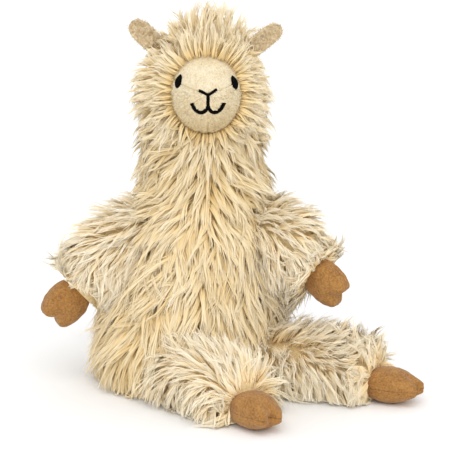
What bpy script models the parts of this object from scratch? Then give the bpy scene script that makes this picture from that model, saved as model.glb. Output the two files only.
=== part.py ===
"""Plush llama, sitting with its legs stretched out.

Lengths are in metres and angles in degrees. The toy faces -Y, its own left side is +X,
the floor is Z = 0 and the origin is on the seat, straight below the neck.

The pelt is modelled as the real one is seen from a step away: overlapping pointed locks
of long pile. Each pelt piece is a lattice of diamond cells, and every cell that nothing
leans on is poked into one leaning lock.
"""

import math
import random

import bmesh
import bpy
import numpy as np
from mathutils import Matrix, Vector

# Edges sharper than this stay sharp in smooth shading
SHARP_ANGLE = 50.0
# Gap left between pieces that touch
SEAM_GAP = 0.0003
# Free space between a lock of pile and a neighbouring piece
PILE_CLEARANCE = 0.0008

# Skin of the body under its pile. Each rise is counted from the place below
SEAT_HALF_WIDTH = 0.058
SEAT_HALF_DEPTH = 0.054
BELLY_RISE = 0.034
BELLY_HALF_WIDTH = 0.064
BELLY_HALF_DEPTH = 0.060
WAIST_RISE = 0.051
WAIST_HALF_WIDTH = 0.056
WAIST_HALF_DEPTH = 0.051
SHOULDER_RISE = 0.045
SHOULDER_HALF_WIDTH = 0.045
SHOULDER_HALF_DEPTH = 0.042
NECK_BASE_RISE = 0.030
NECK_BASE_HALF_WIDTH = 0.040
NECK_BASE_HALF_DEPTH = 0.037
NECK_TOP_RISE = 0.036
NECK_TOP_HALF_WIDTH = 0.037
NECK_TOP_HALF_DEPTH = 0.035
HEAD_RISE = 0.049
HEAD_HALF_WIDTH = 0.040
HEAD_HALF_DEPTH = 0.040
BROW_RISE = 0.022
BROW_HALF_WIDTH = 0.033
BROW_HALF_DEPTH = 0.033
CROWN_RISE = 0.013
CROWN_HALF_WIDTH = 0.019
# The cap on the crown starts at a share of its width, and rises by a share of it
CROWN_CAP_SHARE = 0.5
CROWN_CAP_RISE_SHARE = 0.2
# The belly sags to the toy's right and the head leans to the front
BELLY_SAG = 0.010
WAIST_SAG = 0.006
SHOULDER_SAG = 0.002
HEAD_FORWARD = 0.008
BODY_COLUMNS = 33
BODY_ROW_SPACING = 0.0092

# Pile of the body: locks hang on the trunk, fan out round the face and stand on the crown
BODY_LOCK_LENGTH = 0.024
BODY_LOCK_LIFT = 0.0118
HEAD_LOCK_LENGTH = 0.0135
HEAD_LOCK_LIFT = 0.0027
# How much of its fan a lock beside the face keeps towards the front or the back
HEAD_LOCK_DEPTH_SHARE = 0.35
CROWN_LOCK_LENGTH = 0.019
CROWN_LOCK_LIFT = 0.0048
# The pile changes over this height from hanging to fanned, and then to upright
HEAD_PILE_OVERLAP = 0.012

# Chance in the pile of every piece
LOCK_SPREAD_SHARE = 0.26
LOCK_SWAY = 0.0030
LOCK_RUFFLE = 0.0034
# A lock that meets a neighbour is tried at these shares of its length
LOCK_TRY_SHARES = (1, 0.75, 0.5)
# The tip of a lock near the floor stays at this share of the height of its root
FLOOR_SHARE = 0.15

# Face: an egg of short pile set into the head, sewn from a forehead panel and two cheeks
FACE_HALF_WIDTH = 0.0276
FACE_HALF_DEPTH = 0.033
FACE_HALF_HEIGHT = 0.031
FACE_SINK = 0.006
FACE_DROP = 0.001
FACE_ASIDE = 0.0035
FACE_CLEARANCE = 0.002
MUZZLE_BULGE_SHARE = 0.10
MUZZLE_WIDTH = 36.0
MUZZLE_SLOPE = 7.0
NOSE_RISE = 0.0052
NOSE_ASIDE = 0.0015
BROW_SEAM_ANGLE = 15.0
SEAM_EDGE = 0.0008
SEAM_CORNER_ANGLE = 45.0
FACE_SEGMENTS = 24
FACE_RINGS = 14
# Cutters at the seams reach this many half depths beyond the face
SEAM_CUTTER_REACH = 4

# Eyes: oval beads on the seams between forehead and cheeks
EYE_SPREAD = 0.0210
EYE_HALF_WIDTH = 0.0030
EYE_HALF_HEIGHT = 0.0054
EYE_HALF_DEPTH = 0.0022
EYE_PROUD = 0.0006
EYE_SINK_SHARE = 0.5
EYE_TILT = 12.0
EYE_SEGMENTS = 12
EYE_RINGS = 8

# Satin stitching of nose and mouth, which meets at the seams
STITCH_WIDTH = 0.0026
STITCH_HEIGHT = 0.0011
STITCH_STEP_SHARE = 0.8
# Section of a stitched bar: share of its width and of its height
STITCH_SECTION_SHARES = ((-0.5, 0), (-0.34, 0.75), (0, 1), (0.34, 0.75), (0.5, 0))
NOSE_HALF_WIDTH = 0.0062
NOSE_WING_RISE = 0.0026
# Where a wing of the nose bends: share of its width and of its rise
NOSE_BEND_SHARES = (0.45, 0.5)
LIP_STEM = 0.0092
LIP_STEM_START_SHARE = 0.2
MOUTH_HALF_WIDTH = 0.0120
MOUTH_DROP = 0.0054
MOUTH_CORNER_RISE = 0.0012
# Points of half a mouth: share of its width, and share of its drop above the lowest point
MOUTH_POINT_SHARES = ((0.8, 0.42), (0.48, 0), (0.17, 0.3))

# Ears: flat leaves, cupped on their front side
EAR_LENGTH = 0.048
EAR_HALF_WIDTH = 0.0080
EAR_HALF_THICKNESS = 0.0038
EAR_CUP = 1.25
EAR_ROOT_DROP = 0.007
EAR_ROOT_INSET = 0.0155
RIGHT_EAR_LEAN = 47.0
LEFT_EAR_LEAN = 52.0
# Share of the ear's length, and share of its width there
EAR_OUTLINE_SHARES = ((0, 0.7), (0.3, 0.9), (0.62, 1), (0.85, 0.90), (0.96, 0.60), (1, 0.2))
EAR_COLUMNS = 12
EAR_ROW_SPACING = 0.0055

# Sleeves: pelts of the arms
ARM_ROOT_DEPTH = 0.016
ARM_HALF_WIDTH = 0.020
ARM_HALF_HEIGHT = 0.024
CUFF_HALF_WIDTH = 0.017
RIGHT_ARM_REACH = 0.061
RIGHT_ARM_DROP = 0.054
RIGHT_ARM_FORWARD = 0.014
LEFT_ARM_REACH = 0.0515
LEFT_ARM_DROP = 0.033
LEFT_ARM_FORWARD = 0.032
# Shares of a sleeve's reach, swing to the front, drop, width and height at each station
ARM_STATION_SHARES = (
    (0.06, 0.20, 0.22, 0.95, 0.90),
    (0.42, 0.55, 0.44, 1.00, 1.00),
)
ARM_END_SHARE = 0.9
ARM_COLUMNS = 14
ARM_ROW_SPACING = 0.0074
# Parts of a lock's direction: along the sleeve, out of it and down
ARM_LOCK_LENGTH = 0.019
ARM_LOCK_HANG = 0.017
ARM_LOCK_AHEAD_SHARE = 0.9
ARM_LOCK_OUT_SHARE = 0.48
ARM_LOCK_FALL_SHARE = 0.25
# Under the sleeve locks turn down, away from the hand
UNDERARM_AHEAD_SHARE = 0.2
UNDERARM_FALL_SHARE = 1.15

# Trousers: pelts of the legs, lying on the floor. A bearing is turned from +X to -Y
LEG_ROOT_DEPTH = 0.018
LEG_HALF_WIDTH = 0.023
LEG_HALF_HEIGHT = 0.023
LEG_SETTLE = 0.003
RIGHT_HIP_BEARING = 103.0
RIGHT_LEG_LENGTH = 0.070
RIGHT_LEG_BEARING = 52.0
RIGHT_FOOT_BEARING = 60.0
LEFT_HIP_BEARING = 24.0
LEFT_LEG_LENGTH = 0.0935
LEFT_LEG_BEARING = 18.0
LEFT_FOOT_BEARING = 32.0
LEG_CUFF_HALF_WIDTH = 0.0184
HIP_TURN_SHARE = 0.3
LEG_COLUMNS = 14
LEG_ROW_SPACING = 0.0080
LEG_LOCK_LENGTH = 0.019
LEG_LOCK_AHEAD_SHARE = 0.75
LEG_LOCK_OUT_SHARE = 0.62
# Free space that pile of a limb keeps from the pelts beside it
LIMB_TO_BODY = 0.0145
LIMB_TO_LIMB = 0.0168

# Hooves: an upper and a sole of suedette, seamed round the edge and cleft at the toe
HAND_HOOF_LENGTH = 0.043
HAND_HOOF_WIDTH = 0.038
HAND_HOOF_THICKNESS = 0.022
FOOT_HOOF_LENGTH = 0.055
FOOT_HOOF_WIDTH = 0.036
FOOT_HOOF_THICKNESS = 0.027
HOOF_SEAT_DEPTH = 0.010
HAND_ROLL = 74.0
FOOT_TAPER_SHARE = 0.30
CLEFT_SHARE = 0.26
CLEFT_HALF_ANGLE = 15.0
HOOF_POINTS = 22
SEAM_PINCH = 0.0008
# Rings of a stuffed half: share of the outline, and share of the half thickness there
HOOF_DOME_SHARES = ((0.45, 0.87), (0.82, 0.52), (1.0, 0.12))

FUR_COLOUR = "#E3D2AB"
LIMB_FUR_COLOUR = "#EBDFC4"
FACE_COLOUR = "#F0E4C8"
EAR_COLOUR = "#CDB488"
HOOF_COLOUR = "#AE8350"
BLACK = "#15110F"

UP = Vector((0, 0, 1))
FRONT = Vector((0, -1, 0))

# Heights above the floor that follow from the rises
WAIST_HEIGHT = BELLY_RISE + WAIST_RISE
SHOULDER_HEIGHT = WAIST_HEIGHT + SHOULDER_RISE
NECK_BASE_HEIGHT = SHOULDER_HEIGHT + NECK_BASE_RISE
NECK_TOP_HEIGHT = NECK_BASE_HEIGHT + NECK_TOP_RISE
HEAD_HEIGHT = NECK_TOP_HEIGHT + HEAD_RISE
BROW_HEIGHT = HEAD_HEIGHT + BROW_RISE
CROWN_HEIGHT = BROW_HEIGHT + CROWN_RISE


def linear(hex_colour):
    """RGBA in scene-linear light for an sRGB hex colour."""
    channels = [int(hex_colour[i : i + 2], 16) / 255 for i in (1, 3, 5)]
    return [c / 12.92 if c < 0.04045 else ((c + 0.055) / 1.055) ** 2.4 for c in channels] + [1]


def material(name, hex_colour, roughness):
    made = bpy.data.materials.new(name)
    made.use_nodes = True
    shader = made.node_tree.nodes["Principled BSDF"]
    shader.inputs["Base Color"].default_value = linear(hex_colour)
    shader.inputs["Roughness"].default_value = roughness
    shader.inputs["Metallic"].default_value = 0
    made.diffuse_color = linear(hex_colour)
    return made


def add_object(name, bm, made_of, smooth=True):
    """The finished bmesh as an object, with its faces turned out."""
    bmesh.ops.recalc_face_normals(bm, faces=bm.faces)
    mesh = bpy.data.meshes.new(name)
    bm.to_mesh(mesh)
    bm.free()
    if smooth:
        mesh.shade_smooth()
        mesh.set_sharp_from_angle(angle=math.radians(SHARP_ANGLE))
    if made_of:
        mesh.materials.append(made_of)
    obj = bpy.data.objects.new(name, mesh)
    bpy.context.scene.collection.objects.link(obj)
    return obj


def add_cutter(name, bm):
    """A helper that only cuts, left out of renders."""
    obj = add_object(name, bm, None, smooth=False)
    obj.hide_render = True
    obj.display_type = "WIRE"
    return obj


def boolean(obj, other, operation="DIFFERENCE"):
    modifier = obj.modifiers.new(f"{operation.lower()} {other.name}", "BOOLEAN")
    modifier.operation = operation
    modifier.solver = "EXACT"
    modifier.object = other


def ease(value, low, high):
    """0 below low and 1 above high, with a smooth change between."""
    t = min(max((value - low) / (high - low), 0), 1)
    return t * t * (3 - 2 * t)


def spread_along(stations, spacing, measured):
    """Rows at an even spacing along the smooth curve through the stations.

    The first measured columns of a row are its place, which the spacing counts."""
    knots = np.array(stations, float)
    knots = np.vstack([2 * knots[0] - knots[1], knots, 2 * knots[-1] - knots[-2]])
    fine = []
    for before, start, end, after in zip(knots, knots[1:], knots[2:], knots[3:]):
        for t in np.linspace(0, 1, 20, endpoint=False):
            bend = 2 * before - 5 * start + 4 * end - after
            twist = 3 * start - before - 3 * end + after
            fine.append(start + ((end - before) * t + bend * t**2 + twist * t**3) / 2)
    fine = np.array(fine + [knots[-2]])
    steps = np.linalg.norm(np.diff(fine[:, :measured], axis=0), axis=1)
    run = np.concatenate([[0], np.cumsum(steps)])
    count = max(3, round(run[-1] / spacing)) + 1
    wanted = np.linspace(0, run[-1], count)
    return np.array([np.interp(wanted, run, column) for column in fine.T]).T


def lattice(bm, rings):
    """Joins staggered rings of points with diamond cells, and returns the cells.

    The lowest and the highest ring are left open, and their points are returned too."""
    rows = [[bm.verts.new(point) for point in ring] for ring in rings]
    count = len(rows[0])
    cells = []
    for k in range(len(rows) - 2):
        shift = k % 2
        for j in range(count):
            left = rows[k + 1][(j - 1 + shift) % count]
            right = rows[k + 1][(j + shift) % count]
            cells.append(bm.faces.new((rows[k][j], left, rows[k + 2][j], right)))
    last = len(rows) - 1
    for j in range(count):
        bm.faces.new((rows[0][j], rows[1][j], rows[0][(j + 1) % count]))
        ahead = rows[last][(j + 1) % count]
        between = rows[last - 1][(j + last % 2) % count]
        bm.faces.new((rows[last][j], between, ahead))
    return cells, rows[0], rows[last]


def raise_locks(bm, cells, tip_of, is_free, rng):
    """Pokes each cell into a lock whose tip lies where tip_of says.

    A lock is shortened until it is free of the neighbours, and left flat where it can't be."""
    tips = {}
    for cell in cells:
        root = cell.calc_center_median()
        reach = (tip_of(root) - root) * (1 + rng.uniform(-1, 1) * LOCK_SPREAD_SHARE)
        reach += reach.cross(cell.normal).normalized() * LOCK_SWAY * rng.uniform(-1, 1)
        reach += cell.normal * LOCK_RUFFLE * rng.uniform(-1, 1)
        if not all(is_free(corner.co) for corner in cell.verts):
            continue
        for share in LOCK_TRY_SHARES:
            tip = root + reach * share
            tip.z = max(tip.z, root.z * FLOOR_SHARE)
            if is_free(tip):
                tips[tuple(root)] = tip
                break
    raised = [cell for cell in cells if tuple(cell.calc_center_median()) in tips]
    poked = bmesh.ops.poke(bm, faces=raised, center_mode="MEAN")
    for vert in poked["verts"]:
        nearest = min(tips, key=lambda root: (Vector(root) - vert.co).length_squared)
        vert.co = tips.pop(nearest)


# Body

def body_rows():
    """Rows of height, half width, half depth, forward shift and sideways shift."""
    stations = (
        (0, SEAT_HALF_WIDTH, SEAT_HALF_DEPTH, 0, -BELLY_SAG),
        (BELLY_RISE, BELLY_HALF_WIDTH, BELLY_HALF_DEPTH, 0, -BELLY_SAG),
        (WAIST_HEIGHT, WAIST_HALF_WIDTH, WAIST_HALF_DEPTH, 0, -WAIST_SAG),
        (SHOULDER_HEIGHT, SHOULDER_HALF_WIDTH, SHOULDER_HALF_DEPTH, 0, -SHOULDER_SAG),
        (NECK_BASE_HEIGHT, NECK_BASE_HALF_WIDTH, NECK_BASE_HALF_DEPTH, 0, 0),
        (NECK_TOP_HEIGHT, NECK_TOP_HALF_WIDTH, NECK_TOP_HALF_DEPTH, HEAD_FORWARD / 2, 0),
        (HEAD_HEIGHT, HEAD_HALF_WIDTH, HEAD_HALF_DEPTH, HEAD_FORWARD, 0),
        (BROW_HEIGHT, BROW_HALF_WIDTH, BROW_HALF_DEPTH, HEAD_FORWARD, 0),
        (CROWN_HEIGHT, CROWN_HALF_WIDTH, CROWN_HALF_WIDTH, HEAD_FORWARD, 0),
    )
    return spread_along(stations, BODY_ROW_SPACING, 2)


BODY = body_rows()


def body_at(height):
    """Half width and half depth of the skin at a height, and its middle there."""
    width, depth, forward, aside = [
        float(np.interp(height, BODY[:, 0], BODY[:, i])) for i in range(1, 5)
    ]
    return width, depth, Vector((aside, -forward, height))


def outside_body(point):
    """How far a point lies outside the skin of the body, roughly."""
    width, depth, middle = body_at(point.z)
    if point.z > CROWN_HEIGHT:
        return (point - body_at(CROWN_HEIGHT)[2]).length - CROWN_HALF_WIDTH
    ratio = math.hypot((point.x - middle.x) / width, (point.y - middle.y) / depth)
    return (ratio - 1) * min(width, depth)


# Tubes: sleeves, trousers and ears

def tube_rings(rows, columns, facing, shape, grow=0, floor=None):
    """Staggered rings of points round the rows of place, half width and half height."""
    rings = []
    places = [Vector(row[:3]) for row in rows]
    places[0] -= (places[1] - places[0]).normalized() * grow
    for k, row in enumerate(rows):
        ahead = places[min(k + 1, len(rows) - 1)] - places[max(k - 1, 0)]
        side = ahead.cross(facing).normalized()
        lift = side.cross(ahead).normalized()
        ring = []
        for j in range(columns):
            angle = 2 * math.pi * (j + k % 2 / 2) / columns
            across, along = shape(angle)
            point = places[k] + side * across * row[3] + lift * along * row[4]
            point += (side * math.cos(angle) + lift * math.sin(angle)) * grow
            if floor is not None:
                point.z = max(point.z, floor)
            ring.append(point)
        rings.append(ring)
    return rings


def round_shape(angle):
    return math.cos(angle), math.sin(angle)


def ear_shape(angle):
    """A round whose front side is pushed in."""
    lift = math.sin(angle)
    cup = EAR_CUP * lift**2 if lift > 0 else 0
    return math.cos(angle), lift * (1 - cup)


def from_tube(point, rows):
    """Distance of a point from the skin of a tube, roughly."""
    apart = np.linalg.norm(rows[:, :3] - np.array(point), axis=1)
    return float((apart - rows[:, 3:5].max(axis=1)).min())


def plain_tube(name, rings):
    """A cutter with the tube's shape."""
    bm = bmesh.new()
    _, first, last = lattice(bm, rings)
    close_tube(bm, first, last)
    return add_cutter(name, bm)


def close_tube(bm, first, last):
    """Caps a tube and splits its flat cells, each time along the same diagonal."""
    bmesh.ops.triangulate(bm, faces=[f for f in bm.faces if len(f.verts) == 4], quad_method="FIXED")
    bm.faces.new(first)
    bm.faces.new(last)


def arm_rows(side, reach, drop, forward):
    """Sleeve from inside the shoulder out to the cuff, on the side -1 or 1."""
    width, _, trunk = body_at(SHOULDER_HEIGHT)
    shoulder = width + side * trunk.x

    def station(out, ahead, fall, half_width, half_height):
        place = (side * out, -forward * ahead, SHOULDER_HEIGHT - drop * fall)
        return (*place, half_width, half_height)

    first = ARM_STATION_SHARES[0]
    root = shoulder - ARM_ROOT_DEPTH
    stations = [station(root, 0, first[2] / 2, CUFF_HALF_WIDTH, CUFF_HALF_WIDTH)]
    for out, ahead, fall, wide, high in ARM_STATION_SHARES:
        size = (ARM_HALF_WIDTH * wide, ARM_HALF_HEIGHT * high)
        stations.append(station(shoulder + reach * out, ahead, fall, *size))
    end = shoulder + reach * ARM_END_SHARE
    stations.append(station(end, 1, 1, CUFF_HALF_WIDTH, CUFF_HALF_WIDTH))
    return spread_along(stations, ARM_ROW_SPACING, 3)


RIGHT_ARM = arm_rows(-1, RIGHT_ARM_REACH, RIGHT_ARM_DROP, RIGHT_ARM_FORWARD)
LEFT_ARM = arm_rows(1, LEFT_ARM_REACH, LEFT_ARM_DROP, LEFT_ARM_FORWARD)


def bearing(angle):
    """Unit vector on the floor, turned from +X to -Y by an angle."""
    return Vector((math.cos(math.radians(angle)), -math.sin(math.radians(angle)), 0))


def leg_rows(hip_bearing, length, leg_bearing, foot_bearing):
    """Trouser from inside the belly to the cuff, lying on the floor."""
    width, depth, trunk = body_at(LEG_HALF_HEIGHT)
    out = bearing(hip_bearing)
    skin = 1 / math.hypot(out.x / width, out.y / depth)
    start = trunk + out * (skin - LEG_ROOT_DEPTH)
    start.z = LEG_HALF_HEIGHT - LEG_SETTLE
    end = start + bearing(leg_bearing) * (LEG_ROOT_DEPTH + length)
    handle = (end - start).length / 3
    end.z = max(FOOT_HOOF_THICKNESS / 2, LEG_CUFF_HALF_WIDTH - LEG_SETTLE)
    first = start + (bearing(leg_bearing) + out * HIP_TURN_SHARE).normalized() * handle
    second = end - bearing(foot_bearing) * handle
    stations = [(*start, LEG_HALF_WIDTH, LEG_HALF_HEIGHT)]
    for t in (1 / 3, 2 / 3):
        place = start * (1 - t) ** 3 + first * 3 * t * (1 - t) ** 2
        place += second * 3 * t * t * (1 - t) + end * t**3
        stations.append((*place, LEG_HALF_WIDTH, LEG_HALF_HEIGHT))
    stations.append((*end, LEG_CUFF_HALF_WIDTH, LEG_CUFF_HALF_WIDTH))
    return spread_along(stations, LEG_ROW_SPACING, 3)


RIGHT_LEG = leg_rows(RIGHT_HIP_BEARING, RIGHT_LEG_LENGTH, RIGHT_LEG_BEARING, RIGHT_FOOT_BEARING)
LEFT_LEG = leg_rows(LEFT_HIP_BEARING, LEFT_LEG_LENGTH, LEFT_LEG_BEARING, LEFT_FOOT_BEARING)


def ear_rows(side, lean):
    """Leaf from inside the head up and out to its round tip."""
    width, _, middle = body_at(BROW_HEIGHT - EAR_ROOT_DROP)
    root = middle + Vector((side * (width - EAR_ROOT_INSET) + FACE_ASIDE / 2, 0, 0))
    ahead = Vector((side * math.sin(math.radians(lean)), 0, math.cos(math.radians(lean))))
    stations = []
    for share, wide in EAR_OUTLINE_SHARES:
        place = root + ahead * EAR_LENGTH * share
        stations.append((*place, EAR_HALF_WIDTH * wide, EAR_HALF_THICKNESS * wide))
    return spread_along(stations, EAR_ROW_SPACING, 3)


RIGHT_EAR = ear_rows(-1, RIGHT_EAR_LEAN)
LEFT_EAR = ear_rows(1, LEFT_EAR_LEAN)


# Hooves

def hoof_place(end, ahead, length, roll=0):
    """Where a hoof sits: its heel goes into the end of its sleeve or trouser."""
    side = UP.cross(ahead).normalized()
    place = Matrix((ahead, side, ahead.cross(side))).transposed().to_4x4()
    place = place @ Matrix.Rotation(math.radians(roll), 4, "X")
    place.translation = end + ahead * (length / 2 - HOOF_SEAT_DEPTH)
    return place


def hand_place(rows, roll):
    """A hand follows the end of its sleeve, rolled about its length."""
    end = Vector(rows[-1][:3])
    ahead = (end - Vector(rows[-3][:3])).normalized()
    return hoof_place(end, ahead, HAND_HOOF_LENGTH, roll)


def foot_place(rows, foot_bearing):
    """A foot lies level on the floor, with its toe at its own bearing."""
    end = Vector(rows[-1][:3])
    end.z = FOOT_HOOF_THICKNESS / 2
    return hoof_place(end, bearing(foot_bearing), FOOT_HOOF_LENGTH)


def hoof_outline(length, width, taper, cleft, grow):
    """Points round the edge of a hoof, with the toe at +X."""
    points = []
    for i in range(HOOF_POINTS):
        angle = 2 * math.pi * i / HOOF_POINTS
        turned = math.degrees(angle if angle < math.pi else angle - 2 * math.pi)
        dent = 1 - cleft * math.exp(-((turned / CLEFT_HALF_ANGLE) ** 2))
        x = (length / 2 + grow) * math.cos(angle) * dent
        y = (width / 2 + grow) * math.sin(angle) * (1 - taper * math.cos(angle)) * dent
        points.append(Vector((x, y, 0)))
    return points


def hoof_rings(outline, half_thickness, sides, pinch):
    """Rings over the edge of the hoof, from the top down on the upper side.

    sides holds 1 for the upper and -1 for the sole."""
    half_width = outline[len(outline) // 4].length
    rings = []
    for side in sides:
        domed = [(inward, side * half_thickness * height) for inward, height in HOOF_DOME_SHARES]
        domed.append((1 - pinch / half_width, side * SEAM_GAP / 2))
        rings.append([[Vector((p.x * s, p.y * s, z)) for p in outline] for s, z in domed])
    return rings


def hoof_piece(bm, outline, half_thickness, side, pinch=SEAM_PINCH):
    """One half of a hoof as a closed dome on its seam."""
    (rings,) = hoof_rings(outline, half_thickness, (side,), pinch)
    rows = [[bm.verts.new(point) for point in ring] for ring in rings]
    top = bm.verts.new((0, 0, side * half_thickness))
    count = len(outline)
    for j in range(count):
        ahead = (j + 1) % count
        bm.faces.new((top, rows[0][j], rows[0][ahead]))
        for upper, lower in zip(rows, rows[1:]):
            bm.faces.new((upper[j], lower[j], lower[ahead], upper[ahead]))
    bm.faces.new(rows[-1])


def whole_hoof(bm, outline, half_thickness):
    """Both halves in one closed body, for a cutter."""
    upper, lower = hoof_rings(outline, half_thickness, (1, -1), 0)
    rings = upper[:-1] + lower[-2::-1]
    rows = [[bm.verts.new(point) for point in ring] for ring in rings]
    count = len(outline)
    for j in range(count):
        ahead = (j + 1) % count
        for above, below in zip(rows, rows[1:]):
            bm.faces.new((above[j], below[j], below[ahead], above[ahead]))
    bm.faces.new(rows[0])
    bm.faces.new(rows[-1])


HAND_SIZE = (HAND_HOOF_LENGTH, HAND_HOOF_WIDTH, HAND_HOOF_THICKNESS, 0.0)
FOOT_SIZE = (FOOT_HOOF_LENGTH, FOOT_HOOF_WIDTH, FOOT_HOOF_THICKNESS, FOOT_TAPER_SHARE)
HOOVES = {
    "hand_right": (HAND_SIZE, hand_place(RIGHT_ARM, HAND_ROLL)),
    "hand_left": (HAND_SIZE, hand_place(LEFT_ARM, -HAND_ROLL)),
    "foot_right": (FOOT_SIZE, foot_place(RIGHT_LEG, RIGHT_FOOT_BEARING)),
    "foot_left": (FOOT_SIZE, foot_place(LEFT_LEG, LEFT_FOOT_BEARING)),
}


# Face

FACE_CENTRE = Vector((
    FACE_ASIDE,
    -(HEAD_FORWARD + body_at(HEAD_HEIGHT)[1] - FACE_SINK),
    HEAD_HEIGHT - FACE_DROP,
))
FACE_SIZE = Vector((FACE_HALF_WIDTH, FACE_HALF_DEPTH, FACE_HALF_HEIGHT))


def muzzle(direction):
    """How much further out the face lies in a direction, for the bulge of the muzzle."""
    slope = math.radians(MUZZLE_SLOPE)
    apart = math.degrees(direction.angle(FRONT * math.cos(slope) - UP * math.sin(slope)))
    return 1 + MUZZLE_BULGE_SHARE * math.exp(-((apart / MUZZLE_WIDTH) ** 2))


def face_point(across, up):
    """The point of the face in front of these offsets from its centre."""
    swell = 1
    for _ in range(8):
        x = across / (FACE_SIZE.x * swell)
        z = up / (FACE_SIZE.z * swell)
        direction = Vector((x, -math.sqrt(max(1 - x * x - z * z, 0.0001)), z))
        swell = muzzle(direction)
    return FACE_CENTRE + Vector([a * b for a, b in zip(direction, FACE_SIZE)]) * swell


def face_normal(across, up):
    step = 0.001
    over = face_point(across + step, up) - face_point(across - step, up)
    rise = face_point(across, up + step) - face_point(across, up - step)
    return over.cross(rise).normalized()


def face_egg(bm, grow=0.0):
    """The stuffed face as one closed egg."""
    bmesh.ops.create_uvsphere(bm, u_segments=FACE_SEGMENTS, v_segments=FACE_RINGS, radius=1)
    for vert in bm.verts:
        direction = vert.co.normalized()
        reach = Vector([a * (b + grow) for a, b in zip(direction, FACE_SIZE)])
        vert.co = FACE_CENTRE + reach * muzzle(direction)


def outside_face(point):
    apart = point - FACE_CENTRE
    ratio = Vector([a / b for a, b in zip(apart, FACE_SIZE)]).length
    return (ratio - 1) * min(FACE_SIZE)


def nose_point():
    """Where the three seams of the face meet, as offsets from its centre."""
    return NOSE_ASIDE, NOSE_RISE


def seam_wedge(name, start, end):
    """A prism through the face between two seams, given by their angles."""
    far = SEAM_CUTTER_REACH * FACE_HALF_DEPTH
    across, up = nose_point()
    half = math.radians(end - start) / 2
    middle = math.radians(start + end) / 2
    inset = SEAM_GAP / 2 / math.sin(half)
    corner = Vector((across + inset * math.cos(middle), 0, up + inset * math.sin(middle)))
    outline = [corner]
    for share in (0, 0.5, 1):
        angle = math.radians(start + (end - start) * share)
        outline.append(corner + Vector((math.cos(angle), 0, math.sin(angle))) * far)
    bm = bmesh.new()
    face = bm.faces.new([bm.verts.new(FACE_CENTRE + point + FRONT * far) for point in outline])
    pushed = bmesh.ops.extrude_face_region(bm, geom=[face])
    moved = [item for item in pushed["geom"] if isinstance(item, bmesh.types.BMVert)]
    bmesh.ops.translate(bm, verts=moved, vec=-FRONT * far * 2)
    return add_cutter(name, bm)


def eye_place(side):
    """Where an eye bead sits on the seam of its side."""
    nose_across, nose_up = nose_point()
    across = nose_across + side * EYE_SPREAD
    up = nose_up + EYE_SPREAD * math.tan(math.radians(BROW_SEAM_ANGLE))
    normal = face_normal(across, up)
    turn = normal.to_track_quat("Z", "Y").to_matrix().to_4x4()
    turn = turn @ Matrix.Rotation(math.radians(side * EYE_TILT), 4, "Z")
    proud = EYE_PROUD - EYE_HALF_DEPTH * EYE_SINK_SHARE
    turn.translation = face_point(across, up) + normal * proud
    return turn


def eye_bead(bm, grow=0.0):
    bmesh.ops.create_uvsphere(bm, u_segments=EYE_SEGMENTS, v_segments=EYE_RINGS, radius=1)
    size = (EYE_HALF_WIDTH + grow, EYE_HALF_HEIGHT + grow, EYE_HALF_DEPTH + grow)
    bmesh.ops.scale(bm, vec=size, verts=bm.verts)


def stitched_line(bm, line, width):
    """A raised bar of satin stitches over the face, along offsets from the nose."""
    nose_across, nose_up = nose_point()
    rows = spread_along(line, STITCH_WIDTH * STITCH_STEP_SHARE, 2)
    places = [Vector(row) for row in rows]
    rings = []
    for k, place in enumerate(places):
        ahead = places[min(k + 1, len(places) - 1)] - places[max(k - 1, 0)]
        ahead.normalize()
        ring = []
        for across, high in STITCH_SECTION_SHARES:
            x = nose_across + place.x + ahead.y * across * width
            z = nose_up + place.y - ahead.x * across * width
            rise = face_normal(x, z) * (SEAM_GAP + STITCH_HEIGHT * high)
            ring.append(bm.verts.new(face_point(x, z) + rise))
        rings.append(ring)
    count = len(STITCH_SECTION_SHARES)
    for first, second in zip(rings, rings[1:]):
        for j in range(count):
            ahead = (j + 1) % count
            bm.faces.new((first[j], first[ahead], second[ahead], second[j]))
    bm.faces.new(rings[0])
    bm.faces.new(rings[-1])


# Building

def build_face(skin, bead, thread):
    angles = {
        "forehead_panel": (BROW_SEAM_ANGLE, 180 - BROW_SEAM_ANGLE),
        "cheek_right": (180 - BROW_SEAM_ANGLE, 270),
        "cheek_left": (-90, BROW_SEAM_ANGLE),
    }
    sockets = []
    for name, side in (("eye_right", -1), ("eye_left", 1)):
        bm = bmesh.new()
        eye_bead(bm)
        add_object(name, bm, bead).matrix_world = eye_place(side)
        bm = bmesh.new()
        eye_bead(bm, SEAM_GAP)
        socket = add_cutter(f"{name} socket", bm)
        socket.matrix_world = eye_place(side)
        sockets.append(socket)
    for name, (start, end) in angles.items():
        bm = bmesh.new()
        face_egg(bm)
        panel = add_object(name, bm, skin)
        boolean(panel, seam_wedge(f"{name} seams", start, end), "INTERSECT")
        edge = panel.modifiers.new("seam edge", "BEVEL")
        edge.width = SEAM_EDGE
        edge.segments = 1
        edge.limit_method = "ANGLE"
        edge.angle_limit = math.radians(SEAM_CORNER_ANGLE)
        for socket in sockets:
            boolean(panel, socket)
    lines = {
        "nose_mouth_stitching": mouth_line(),
        "lip stem": [(0, NOSE_WING_RISE * LIP_STEM_START_SHARE), (0, -LIP_STEM / 2), (0, -LIP_STEM)],
        "nose wings": nose_line(),
    }
    bars = []
    for name, line in lines.items():
        bm = bmesh.new()
        stitched_line(bm, line, STITCH_WIDTH)
        bars.append(add_object(name, bm, thread) if not bars else add_cutter(name, bm))
    for bar in bars[1:]:
        boolean(bars[0], bar, "UNION")


def nose_line():
    """The two wings of the nose, meeting at the stem."""
    half, rise = NOSE_HALF_WIDTH, NOSE_WING_RISE
    out, up = half * NOSE_BEND_SHARES[0], rise * NOSE_BEND_SHARES[1]
    return [(-half, rise), (-out, up), (0, 0), (out, up), (half, rise)]


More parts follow.
